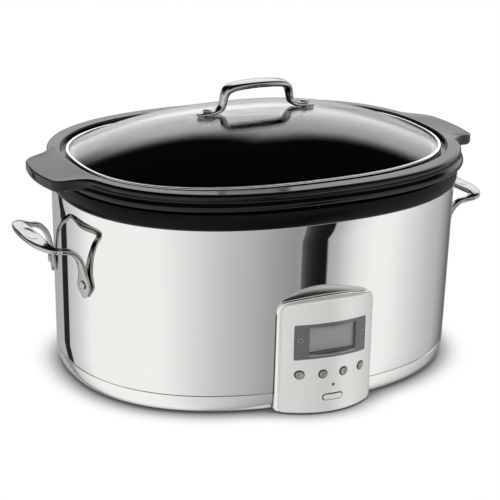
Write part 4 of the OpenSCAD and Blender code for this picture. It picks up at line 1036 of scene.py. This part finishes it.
def evenly(loop, spacing):
    """The same closed loop with evenly spaced points."""
    closed = np.vstack([loop, loop[:1]])
    steps = way_along(closed)
    places = np.linspace(0, steps[-1], max(12, ceil(steps[-1] / spacing)), endpoint=False)
    return np.column_stack([np.interp(places, steps, closed[:, k]) for k in (0, 1)])


def rounded_corner(points, k, radius, steps=10):
    """Points of the arc that rounds corner k of a polygon."""
    here, before, after = points[k], points[k - 1], points[(k + 1) % len(points)]
    u, v = (before - here), (after - here)
    u, v = u / np.linalg.norm(u), v / np.linalg.norm(v)
    half = 0.5 * np.arccos(np.clip(u @ v, -1, 1))
    tangent = radius / np.tan(half)
    centre = here + (u + v) / np.linalg.norm(u + v) * radius / np.sin(half)
    start, end = here + u * tangent, here + v * tangent
    a0 = atan2(*(start - centre)[::-1])
    a1 = atan2(*(end - centre)[::-1])
    if a1 - a0 > pi:
        a1 -= tau
    if a0 - a1 > pi:
        a1 += tau
    return [centre + radius * np.array([cos(a), sin(a)]) for a in np.linspace(a0, a1, steps)]


def shield_loop(half, bottom, top, arch, corner, foot, spacing=1.2):
    """Front view of the pod: upright sides, arched top, rounded corners."""
    shoulder = top - arch + sqrt(arch * arch - half * half)
    xs = np.linspace(half, -half, 41)
    crest = np.column_stack([xs, top - arch + np.sqrt(arch * arch - xs * xs)])
    corners = np.array([[-half, bottom], [half, bottom], [half, shoulder], [-half, shoulder]])
    points = rounded_corner(corners, 0, foot) + rounded_corner(corners, 1, foot)
    right = np.array([[half, bottom], crest[0], crest[6]])
    left = np.array([crest[-7], crest[-1], [-half, bottom]])
    points += rounded_corner(right, 1, corner) + [p for p in crest if abs(p[0]) < half - corner - 1]
    points += rounded_corner(left, 1, corner)
    return evenly(np.array(points), spacing)


def window_loop(pod, grow, spacing=0.9, corner=0.9):
    """Front view of the window: upright sides between two arched edges."""
    half, arch = pod.window_half_width, pod.window_arch
    radius = (half * half + arch * arch) / (2 * arch)
    xs = np.linspace(-half, half, 31)
    bow = np.sqrt(radius * radius - xs * xs) - radius
    low = np.column_stack([xs, pod.window_z - pod.window_height / 2 + bow])
    high = np.column_stack([xs, pod.window_z + pod.window_height / 2 + bow])[::-1]
    corners = [(low[-5], low[-1], high[0]), (low[-1], high[0], high[4]),
               (high[-5], high[-1], low[0]), (high[-1], low[0], low[4])]
    right_low, right_high, left_high, left_low = [rounded_corner(np.array(c), 1, corner, 5) for c in corners]
    points = list(low[2:-2]) + right_low + right_high + list(high[2:-2]) + left_high + left_low
    return inset_loop(evenly(np.array(points), spacing), -grow)


def circle_loop(x, z, radius, count=48):
    """Circle about (x, z)."""
    turns = tau * np.arange(count) / count
    return np.column_stack([x + radius * np.cos(turns), z + radius * np.sin(turns)])


def pill_loop(z, length_x, width, spacing=0.5):
    """Slot with round ends, in the middle at the height z."""
    r = width / 2
    reach = length_x / 2 - r
    right = [(reach + r * cos(t), z + r * sin(t)) for t in np.linspace(-pi / 2, pi / 2, 20)]
    left = [(-reach + r * cos(t), z + r * sin(t)) for t in np.linspace(pi / 2, 1.5 * pi, 20)]
    return evenly(np.array(right + left), spacing)


def in_loop(points, loop):
    """Which points lie inside a loop."""
    inside = np.zeros(len(points), bool)
    x, z = points[:, 0], points[:, 1]
    for (x0, z0), (x1, z1) in zip(loop, np.roll(loop, -1, axis=0)):
        crosses = (z0 > z) != (z1 > z)
        if z1 != z0:
            inside ^= crosses & (x < (x1 - x0) * (z - z0) / (z1 - z0) + x0)
    return inside


def face_sheet(outline, holes, spacing):
    """Triangles that fill an outline round its holes, with grid points inside: (flat points, faces)."""
    low, high = outline.min(axis=0), outline.max(axis=0)
    xs = np.arange(low[0] + spacing / 2, high[0], spacing)
    zs = np.arange(low[1] + spacing / 2, high[1], spacing)
    grid = np.array([(x, z) for z in zs for x in xs])
    clearance = 0.45 * spacing
    keep = in_loop(grid, inset_loop(outline, clearance))
    for hole in holes:
        keep &= ~in_loop(grid, inset_loop(hole, -clearance))
    loops = [outline] + list(holes)
    points = [Vector(p) for loop in loops for p in loop] + [Vector(p) for p in grid[keep]]
    edges, start = [], 0
    for loop in loops:
        edges += [(start + i, start + (i + 1) % len(loop)) for i in range(len(loop))]
        start += len(loop)
    found = delaunay_2d_cdt(points, edges, [], 0, 1e-6)
    flat = np.array([tuple(v) for v in found[0]])
    faces = [tuple(f) for f in found[2]]
    middles = np.array([flat[list(f)].mean(axis=0) for f in faces])
    good = in_loop(middles, outline)
    for hole in holes:
        good &= ~in_loop(middles, hole)
    return flat, [f for f, ok in zip(faces, good) if ok]


def on_face(flat, surface, depth):
    """Points of a front view set on a curved face, the depth behind it."""
    y = surface(flat[:, 0], flat[:, 1]) + depth
    return np.column_stack([flat[:, 0], y, flat[:, 1]])


def curved_plate(outline, surface, edge, back, holes=(), spacing=2.0, droop=0.0):
    """Front face with rounded edges. edge is a profile of (inset, depth) from the face out to its side,
    back(x, z) is where the side ends, and each hole is (loop, profile of (growth, depth) inwards).
    droop is the slope by which the top falls towards its back."""
    rings = [on_face(inset_loop(outline, inset), surface, depth) for inset, depth in edge]
    last = rings[-1].copy()
    last[:, 1] = np.maximum(back(last[:, 0], last[:, 2]), last[:, 1] + 0.05)
    last[:, 2] -= droop * (last[:, 1] - rings[-1][:, 1]) * blend_in(last[:, 2], 80, 100)
    shapes = [lofted(rings + [last], caps=False)]
    grown = []
    for loop, lip in holes:
        hole_rings = [on_face(inset_loop(loop, -growth), surface, depth) for growth, depth in lip]
        shapes.append(lofted(hole_rings, caps=False))
        grown.append(inset_loop(loop, -lip[0][0]))
    flat, faces = face_sheet(inset_loop(outline, edge[0][0]), grown, spacing)
    shapes.append((on_face(flat, surface, edge[0][1]), faces))
    return joined(*shapes)


def round_edge(radius, steps=6):
    """Edge profile of (inset, depth) from the face round to the side."""
    return [(radius * (1 - sin(t)), radius * (1 - cos(t))) for t in np.linspace(0, pi / 2, steps + 1)]


def cylinder_face(nose, radius):
    """Distance y of an upright cylinder's front at the length x."""
    return lambda x, z: -nose + radius - np.sqrt(np.maximum(radius * radius - x * x, 1))


def plane_face(y):
    """An upright plane at the distance y."""
    return lambda x, z: np.full(len(x), float(y))


def capped(loop, surface, profile):
    """Closed cap on a curved face: profile of (inset, depth) from its back edge to its middle."""
    rings = [on_face(inset_loop(loop, inset), surface, depth) for inset, depth in profile]
    return lofted(rings)


# Corner radii of the rear frame, the cover, the frame's opening and the pod's lower edge, in millimetres.
FRAME_CORNER = 11
COVER_CORNER = 9
OPENING_CORNER = 6
FOOT_CORNER = 3


class COOKER_OT_pod_frame(bpy.types.Operator):
    """Builds the polished frame behind the pod's cover"""

    bl_idname = "cooker.pod_frame"
    bl_label = "Pod frame"

    def execute(self, context):
        body = Millimetres(context.scene.cooker_body)
        pod = Millimetres(context.scene.cooker_pod)
        half, bottom, top = pod.frame_half_width, pod.bottom, pod.frame_top
        outline = shield_loop(half, bottom, top, pod.arch, FRAME_CORNER, FOOT_CORNER)
        opening = shield_loop(pod.half_width - 6, bottom + 2.4, pod.top - 9, pod.arch, OPENING_CORNER, 0.6)
        top_droop = 0.32

        wall_overlap, shade_strip_stand, shade_strip_overhang = 0.15, 1.2, 0.35

        def wall_behind(x, z):
            return -wall_y(body, x, z) + wall_overlap

        shape = curved_plate(outline, cylinder_face(pod.frame_nose, pod.frame_radius), round_edge(1.6, 7),
                             wall_behind, [(opening, [(0.3, 0), (0, 0.3), (0, 5)])], droop=top_droop)
        piece("pod_surround", shape, "base", "polished_stainless", ("pod_frame",))

        # Painted shade: a dark strip between the frame and the wall, which shows as a thin dark line at the
        # sides where shade falls in the gap.
        loop = shield_loop(half + shade_strip_overhang, bottom + 0.2, top - 4, pod.arch, FRAME_CORNER, FOOT_CORNER)
        shade_strip = curved_plate(loop, lambda x, z: -wall_y(body, x, z) - shade_strip_stand, round_edge(0.3, 2),
                            wall_behind, [(opening, [(0.1, 0), (0, 0.1), (0, 1)])])
        piece("pod_seal", shade_strip, "base", "moulded_rubber")
        return {"FINISHED"}


# Width by which the caps are smaller than the buttons and the holes larger, and the holes' offset, in mm.
CAP_TRIM = 0.6
GAP = 0.3
GAP_SHIFT = np.array([-0.2, 0.18])


def button_xs(pod):
    """Places of the four small buttons along the pod."""
    return [(k - 1.5) * pod.button_pitch for k in range(4)]


def button_holes(pod):
    """Front view of the holes that the four small buttons and the power button stand in."""
    small = [circle_loop(x, pod.button_z, pod.button / 2 + GAP) for x in button_xs(pod)]
    power = pill_loop(pod.power_z, pod.power_length + 2 * GAP, pod.power_width + 2 * GAP)
    return [loop + GAP_SHIFT for loop in small + [power]]


class COOKER_OT_pod_cover(bpy.types.Operator):
    """Builds the pod's satin front cover with its window and button openings"""

    bl_idname = "cooker.pod_cover"
    bl_label = "Pod cover"

    def execute(self, context):
        pod = Millimetres(context.scene.cooker_pod)
        outline = shield_loop(pod.half_width, pod.bottom, pod.top, pod.arch, COVER_CORNER, FOOT_CORNER)
        frame_face = cylinder_face(pod.frame_nose, pod.frame_radius)
        lip = [(0.25, 0), (0.08, 0.08), (0, 0.25), (0, 2.6)]
        loops = [window_loop(pod, 0.15)] + button_holes(pod)
        loops.append(circle_loop(0, pod.light_z, pod.light / 2 + 0.15, 24))
        shape = curved_plate(outline, cylinder_face(pod.nose, pod.radius), round_edge(2.0, 7),
                             lambda x, z: frame_face(x, z) + 0.4, [(loop, lip) for loop in loops], 1.5)
        piece("pod_front_cover", shape, "base", "satin_silver_abs", ("pod_cover",))

        # Painted shade: dark bands in the gaps round the buttons.
        shade_strips = [shade_strip_band(loop, pod) for loop in button_holes(pod)]
        piece("button_seals", joined(*shade_strips), "base", "moulded_rubber")
        return {"FINISHED"}


class COOKER_OT_display(bpy.types.Operator):
    """Builds the window, the LCD behind it and the indicator lights"""

    bl_idname = "cooker.display"
    bl_label = "Display"

    def execute(self, context):
        pod = Millimetres(context.scene.cooker_pod)
        recess, thickness = 0.5, 1.8
        face = cylinder_face(pod.nose - recess, pod.radius - recess)
        behind = cylinder_face(pod.nose - recess - thickness, pod.radius - recess - thickness)
        pane = curved_plate(window_loop(pod, 0), face, round_edge(0.3, 3), behind, (), 1.5)
        piece("window_pane", pane, "base", "smoked_acrylic", ("display_window",))

        half_w, half_h = pod.lcd_width / 2, pod.lcd_height / 2
        middle = pod.window_z
        corners = np.array([[-half_w, middle - half_h], [half_w, middle - half_h],
                            [half_w, middle + half_h], [-half_w, middle + half_h]])
        loop = evenly(np.array(sum([rounded_corner(corners, k, 0.6, 4) for k in range(4)], [])), 1.0)
        front = float(behind(np.array([half_w + 2]), None)[0]) + 0.25
        depth, sunk, bezel_overlap, bezel_width = 4.0, 0.8, 0.8, 1.9
        field, rim, back = (plane_face(front + step) for step in (sunk, 0, depth))
        glass = curved_plate(inset_loop(loop, bezel_overlap), field, round_edge(0.2, 3), back)
        bezel = curved_plate(inset_loop(loop, -bezel_width), rim, round_edge(0.3, 3), back,
                             [(inset_loop(loop, 0.1), [(0.25, 0), (0, 0.25), (0, 0.9)])])
        piece("lcd_glass", glass, "base", "lcd_polariser", ("lcd_module",))
        piece("lcd_bezel", bezel, "base", "moulded_grey_bezel")

        domed = [(0, 4.5), (0, 0.02), (0.12, -0.14), (0.45, -0.3), (0.9, -0.38), (1.3, -0.4)]
        light_xs, lens_radius = (-30.5, 30.5), 1.35
        domes = [capped(circle_loop(x, middle, lens_radius, 32), face, domed) for x in light_xs]
        rings = [ring_band(x, middle, 1.5, 2.0, face) for x in light_xs]
        piece("cooking_light_lenses", joined(*domes), "base", "amber_lens",
              ("cooking_lights",))
        piece("cooking_light_rings", joined(*rings), "base", "printed_ring")

        # Painted highlight: a light strip on the window under the LCD, in place of the bright edge that the
        # light makes there.
        line = pill_loop(middle - half_h - 1.2, 2 * half_w - 1, 0.8, 0.8)
        line = capped(line, face, [(0, 0.02), (0.05, -0.05), (0.3, -0.06)])
        piece("lcd_edge_line", line, "base", "printed_ring")

        cover = cylinder_face(pod.nose, pod.radius)
        lens = capped(circle_loop(0, pod.light_z, pod.light / 2, 32), cover,
                      [(0, 5), (0, 0.3), (0.1, 0.16), (0.45, 0.06), (0.9, 0.01), (1.25, 0.0)])
        piece("power_light_lens", lens, "base", "red_lens", ("power_light",))
        return {"FINISHED"}


def shade_strip_band(loop, pod):
    """Painted shade: dark band that fills the gap round a button, just below the cover's face, where shade
    falls.
    """
    face = cylinder_face(pod.nose, pod.radius)
    profile = [(-0.1, 1.6), (-0.1, 0.25), (0.1, 0.2), (1.0, 0.2), (1.0, 1.6)]
    rings = [on_face(inset_loop(loop, inset), face, depth) for inset, depth in profile]
    return lofted(rings, wrap=True)


def ring_band(x, z, inner, outer, surface):
    """Thin raised ring on a curved face."""
    profile = [(outer, 0.01), (outer - 0.06, -0.05), (inner + 0.06, -0.05), (inner, 0.01)]
    rings = [on_face(circle_loop(x, z, radius, 40), surface, depth) for radius, depth in profile]
    return lofted(rings, caps=False)


class COOKER_OT_buttons(bpy.types.Operator):
    """Builds the four small buttons and the power button"""

    bl_idname = "cooker.buttons"
    bl_label = "Buttons"

    def execute(self, context):
        pod = Millimetres(context.scene.cooker_pod)
        cover = cylinder_face(pod.nose, pod.radius)
        dished = [(0, 3.4), (0, -0.35), (0.14, -0.62), (0.45, -0.76), (0.8, -0.7), (1.3, -0.48), (2.1, -0.28),
                  (2.9, -0.18), (3.3, -0.15)]
        flange_width = 0.6
        for k, x in enumerate(button_xs(pod)):
            name = "button_%d" % (k + 1)
            cap = capped(circle_loop(x, pod.button_z, pod.button / 2 - CAP_TRIM, 64), cover, dished)
            flange = circle_loop(x, pod.button_z, pod.button / 2 + flange_width)
            flange = capped(flange, cover, [(0, 3.6), (0, 3.1), (2, 3.1)])
            piece(name + "_cap", joined(cap, flange), name + "_body", "satin_chromed_abs",
                  (name,))
        domed = [(0, 3.6), (0, -0.3), (0.18, -0.58), (0.6, -0.72), (1.2, -0.6), (1.9, -0.42), (2.3, -0.38)]
        trim = 2 * CAP_TRIM
        loop = pill_loop(pod.power_z, pod.power_length - trim, pod.power_width - trim, 0.4)
        cap = capped(loop, cover, domed)
        piece("power_button_cap", cap, "power_button_body", "satin_silver_abs",
              ("power_button",))
        return {"FINISHED"}


# ---- carried-over nodes ----

NODE_FINISHES = {
    "zinc_plated_steel": ("base_plate", "plate_screws", "tie_nuts", "heat_shield", "temperature_sensor",
                          "rivet_washers", "power_board_screws", "board_screws", "tie_rods", "lid_nuts"),
    "moulded_rubber": ("feet", "cord_gland"),
    "black_epoxy": ("relay", "button_switches", "cord_gland_nut"),
    "heater_foil": ("heater_band",),
    "glass_fibre_felt": ("insulation_blanket",),
    "white_ceramic": ("thermal_fuse",),
    "solder_mask_board": ("power_board", "control_board"),
    "natural_nylon": ("power_board_standoffs",),
    "wound_transformer": ("transformer",),
    "blue_sleeve": ("capacitor",),
    "green_polyamide": ("terminal_block",),
    "red_silicone": ("heater_leads",),
    "grey_ribbon_vinyl": ("control_leads",),
    "white_silicone": ("lid_washers",),
}


class COOKER_OT_inner_finishes(bpy.types.Operator):
    """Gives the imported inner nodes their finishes"""

    bl_idname = "cooker.inner_finishes"
    bl_label = "Inner finishes"

    def execute(self, context):
        for finish_name, names in NODE_FINISHES.items():
            made = MATERIALS[finish_name]
            for name in names:
                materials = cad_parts[name].data.materials
                if not materials:
                    materials.append(made)
                for k in range(len(materials)):
                    materials[k] = made
        return {"FINISHED"}


# ---- stage ----

# The studio seen level from the object, as (heading from the front in degrees, brightness): a long soft
# panel on the left that fades across the front, and a second panel on the right.
STUDIO_ROUND = [
    (-180, 0.40), (-167, 0.44), (-157.3, 0.55), (-145, 0.71), (-129, 0.95), (-120, 0.98), (-60, 0.98),
    (-49, 0.91), (-35, 0.80), (-22, 0.67), (-11, 0.57), (0, 0.49), (8, 0.41), (19, 0.31), (30, 0.46),
    (34.5, 0.72), (38, 0.85), (45, 0.97), (54, 0.96), (67, 0.79), (87, 0.58), (102, 0.47), (128, 0.13),
    (150, 0.25), (180, 0.40),
]
# Black flags that stand in front of the panels: start and end heading, and brightness from one to the other.
FLAGS = [
    (-165.3, -158.9, [(0.0, 0.02), (1.0, 0.02)]),
    (21.4, 29.0, [(0.0, 0.15), (0.1, 0.09), (0.27, 0.045), (0.5, 0.02), (0.75, 0.011), (1.0, 0.008)]),
]
# Half the width of a flag's soft edge, in degrees.
FLAG_EDGE = 0.15
# Factor that takes the brightness of panels and flags to the level of the light.
PANEL_LEVEL = 1.22
# The broad panel behind the set: the way to it, the heading of its tallest point, and how fast its top
# falls away to either side of it.
REAR_WAY = (0.443, 0.897, 0.0)
REAR_HEADING = 147.0
REAR_FALLS = (0.6, -0.4)
# How far towards REAR_WAY the panel begins and is whole, the heights in degrees between which its top
# fades, and its brightness below and above them.
REAR_SPREAD = (-0.1, 0.5)
REAR_TOP = (37.0, 48.0)
REAR_LEVELS = (1.5, 0.012)
# Heights in degrees between which the ring of panels gives way to what stands above it.
RING_TOP = (3.0, 12.0)
# The soft lamp in front: the way to it, its distance and size in metres, and its power in watts.
LAMP_WAY = (0.12, -0.93, 0.35)
LAMP_DISTANCE = 2.2
LAMP_SIZE = 1.6
LAMP_POWER = 17.0
# Light from above the panels in front, from level to straight up.
FRONT_ABOVE = [(0.0, 0.9), (0.38, 0.88), (0.52, 0.1), (0.62, 0.02), (1.0, 0.015)]
# Painted shadow of the floor: its brightness from where ambient occlusion finds it covered to where it
# is open, the distance in metres within which something covers it, and half its size in metres.
FLOOR_PAINTED_SHADOW = [(0.0, 0.03), (0.4, 0.16), (0.6, 0.5), (0.78, 0.84), (0.95, 1.0)]
FLOOR_PAINTED_SHADOW_REACH = 0.03
FLOOR_REACH = 8.0
WHITE = (1, 1, 1, 1)


class COOKER_OT_stage(bpy.types.Operator):
    """Builds the floor, the studio light and the camera"""

    bl_idname = "cooker.stage"
    bl_label = "Stage"

    def execute(self, context):
        stage = Millimetres(context.scene.cooker_stage)
        self.camera(context, stage)
        self.floor(context)
        self.lamp(context)
        self.world(context)
        context.scene.view_settings.view_transform = "Standard"
        return {"FINISHED"}

    @staticmethod
    def camera(context, stage):
        """Camera of the photograph: turned, raised, rolled and stepped aside."""
        a, e, r = stage.azimuth, stage.elevation, stage.roll
        back = Vector((sin(a) * cos(e), -cos(a) * cos(e), sin(e)))
        right = Vector((cos(a), sin(a), 0))
        up = back.cross(right)
        turned_right = right * cos(r) + up * sin(r)
        turned_up = -right * sin(r) + up * cos(r)
        place = back * stage.distance + turned_right * stage.aside + turned_up * stage.lift
        place = (place + Vector((0, 0, stage.aim_height)) + Vector(OVAL_ORIGIN)) * MM
        data = bpy.data.cameras.new("studio_camera")
        data.lens, data.sensor_width = stage.lens, 36
        data.clip_start, data.clip_end = 0.05, 50
        camera = bpy.data.objects.new("studio_camera", data)
        rows = [(turned_right[k], turned_up[k], back[k], place[k]) for k in range(3)] + [(0, 0, 0, 1)]
        camera.matrix_world = Matrix(rows)
        context.scene.collection.objects.link(camera)
        context.scene.camera = camera

    @staticmethod
    def floor(context):
        """White floor: pale and matt, glowing bright where nothing covers it, with a painted soft shadow at
        the contact, which ambient occlusion sets in its glow.
        """
        mesh = bpy.data.meshes.new("studio_floor")
        corners = [(FLOOR_REACH * x, FLOOR_REACH * y, 0) for x, y in ((-1, -1), (1, -1), (1, 1), (-1, 1))]
        mesh.from_pydata(corners, [], [(0, 1, 2, 3)])
        floor = bpy.data.objects.new("studio_floor", mesh)
        context.scene.collection.objects.link(floor)
        floor.visible_glossy = False
        made = bpy.data.materials.new("white_sweep")
        tree = new_tree(made)
        white = tuple(context.scene.cooker_colours.floor) + (1,)
        # Painted shadow: ambient occlusion sets the colour of the floor's glow.
        open_sky = add(tree, "AmbientOcclusion", {"Color": white, "Distance": FLOOR_PAINTED_SHADOW_REACH},
                       samples=16)
        shade = ramp(tree, open_sky.outputs["AO"], FLOOR_PAINTED_SHADOW)
        glow = add(tree, "Emission", {"Color": shade, "Strength": 1.0})
        matt = add(tree, "BsdfDiffuse", {"Color": (0.8, 0.8, 0.8, 1)})
        path = add(tree, "LightPath").outputs
        seen = maths(tree, "MAXIMUM", path["Is Camera Ray"], path["Is Glossy Ray"])
        seen = maths(tree, "MAXIMUM", seen, path["Is Transmission Ray"])
        both = add(tree, "MixShader", {0: seen, 1: matt.outputs[0], 2: glow.outputs[0]})
        add(tree, "OutputMaterial", {"Surface": both.outputs[0]})
        mesh.materials.append(made)

    @staticmethod
    def lamp(context):
        """Large soft lamp in front, which lifts the painted surfaces and shows in no mirror."""
        data = bpy.data.lights.new("front_fill", "AREA")
        data.shape = "SQUARE"
        data.size, data.energy = LAMP_SIZE, LAMP_POWER
        lamp = bpy.data.objects.new("front_fill", data)
        towards = Vector(LAMP_WAY).normalized()
        lamp.rotation_euler = towards.to_track_quat("Z", "Y").to_euler()
        lamp.location = towards * LAMP_DISTANCE
        lamp.visible_glossy = False
        lamp.visible_camera = False
        context.scene.collection.objects.link(lamp)

    @staticmethod
    def world(context):
        """Soft studio: panels and flags round the object, a broad panel behind and above it, white beyond."""
        world = bpy.data.worlds.new("soft_studio")
        context.scene.world = world
        tree = new_tree(world)
        toward = add(tree, "TexCoord").outputs["Generated"]
        way = add(tree, "SeparateXYZ", {"Vector": toward}).outputs
        heading = maths(tree, "ARCTAN2", way["X"], maths(tree, "MULTIPLY", way["Y"], -1.0))
        share = mapped(tree, heading, -pi, pi)
        level = ramp(tree, share, [((angle + 180) / 360, value) for angle, value in STUDIO_ROUND])
        heading = maths(tree, "DEGREES", heading)
        for start, end, stops in FLAGS:
            shade = ramp(tree, mapped(tree, heading, start, end), stops)
            past = [mapped(tree, heading, edge - FLAG_EDGE, edge + FLAG_EDGE) for edge in (start, end)]
            level = mixed(tree, maths(tree, "SUBTRACT", *past), level, shade)
        lower = mixed(tree, 1.0, level, (PANEL_LEVEL,) * 3 + (1,), "MULTIPLY")

        height = maths(tree, "DEGREES", maths(tree, "ARCSINE", way["Z"]))
        back = add(tree, "VectorMath", {0: toward, 1: REAR_WAY}, operation="DOT_PRODUCT").outputs["Value"]
        rear = mapped(tree, back, *REAR_SPREAD, interpolation_type="SMOOTHSTEP")
        aside = maths(tree, "SUBTRACT", heading, REAR_HEADING)
        fall = maths(tree, "MAXIMUM", *(maths(tree, "MULTIPLY", aside, slope) for slope in REAR_FALLS))
        rear_level = mapped(tree, maths(tree, "ADD", height, fall), *REAR_TOP, *REAR_LEVELS,
                            interpolation_type="SMOOTHSTEP")
        front_level = ramp(tree, mapped(tree, height, 0.0, 90.0), FRONT_ABOVE)
        upper = mixed(tree, rear, front_level, rear_level)
        lifted = mapped(tree, height, *RING_TOP, interpolation_type="SMOOTHSTEP")
        studio = mixed(tree, lifted, lower, upper)

        # The camera sees white, and so does the glass, as far up as the backdrop reaches.
        path = add(tree, "LightPath").outputs
        through = maths(tree, "MULTIPLY", path["Is Transmission Ray"], maths(tree, "SUBTRACT", 1.0, lifted))
        seen = maths(tree, "MAXIMUM", path["Is Camera Ray"], through)
        glow = add(tree, "Background", {"Color": mixed(tree, seen, studio, WHITE), "Strength": 1.0})
        add(tree, "OutputWorld", {"Surface": glow.outputs[0]})


# ---- panel and running order ----

OPERATORS = [
    COOKER_OT_wall, COOKER_OT_collar, COOKER_OT_base_ring, COOKER_OT_well, COOKER_OT_crock,
    COOKER_OT_lid_glass, COOKER_OT_lid_band, COOKER_OT_side_handles, COOKER_OT_rivets, COOKER_OT_lid_handle,
    COOKER_OT_pod_frame, COOKER_OT_pod_cover, COOKER_OT_display, COOKER_OT_buttons,
    COOKER_OT_inner_finishes, COOKER_OT_stage,
]


class COOKER_PT_pieces(bpy.types.Panel):
    bl_idname = "COOKER_PT_pieces"
    bl_label = "Slow cooker"
    bl_space_type = "VIEW_3D"
    bl_region_type = "UI"
    bl_category = "Slow cooker"

    def draw(self, context):
        for operator in OPERATORS:
            self.layout.operator(operator.bl_idname)


def register():
    for name, group in SETTINGS.items():
        bpy.utils.register_class(group)
        setattr(bpy.types.Scene, name, PointerProperty(type=group))
    for made in OPERATORS + [COOKER_PT_pieces]:
        bpy.utils.register_class(made)


def unregister():
    for made in [COOKER_PT_pieces] + OPERATORS[::-1]:
        bpy.utils.unregister_class(made)
    for name, group in SETTINGS.items():
        delattr(bpy.types.Scene, name)
        bpy.utils.unregister_class(group)


def main():
    register()
    make_materials(bpy.context.scene.cooker_colours)
    for operator in OPERATORS:
        category, name = operator.bl_idname.split(".")
        getattr(getattr(bpy.ops, category), name)()


if __name__ == "__main__":
    main()
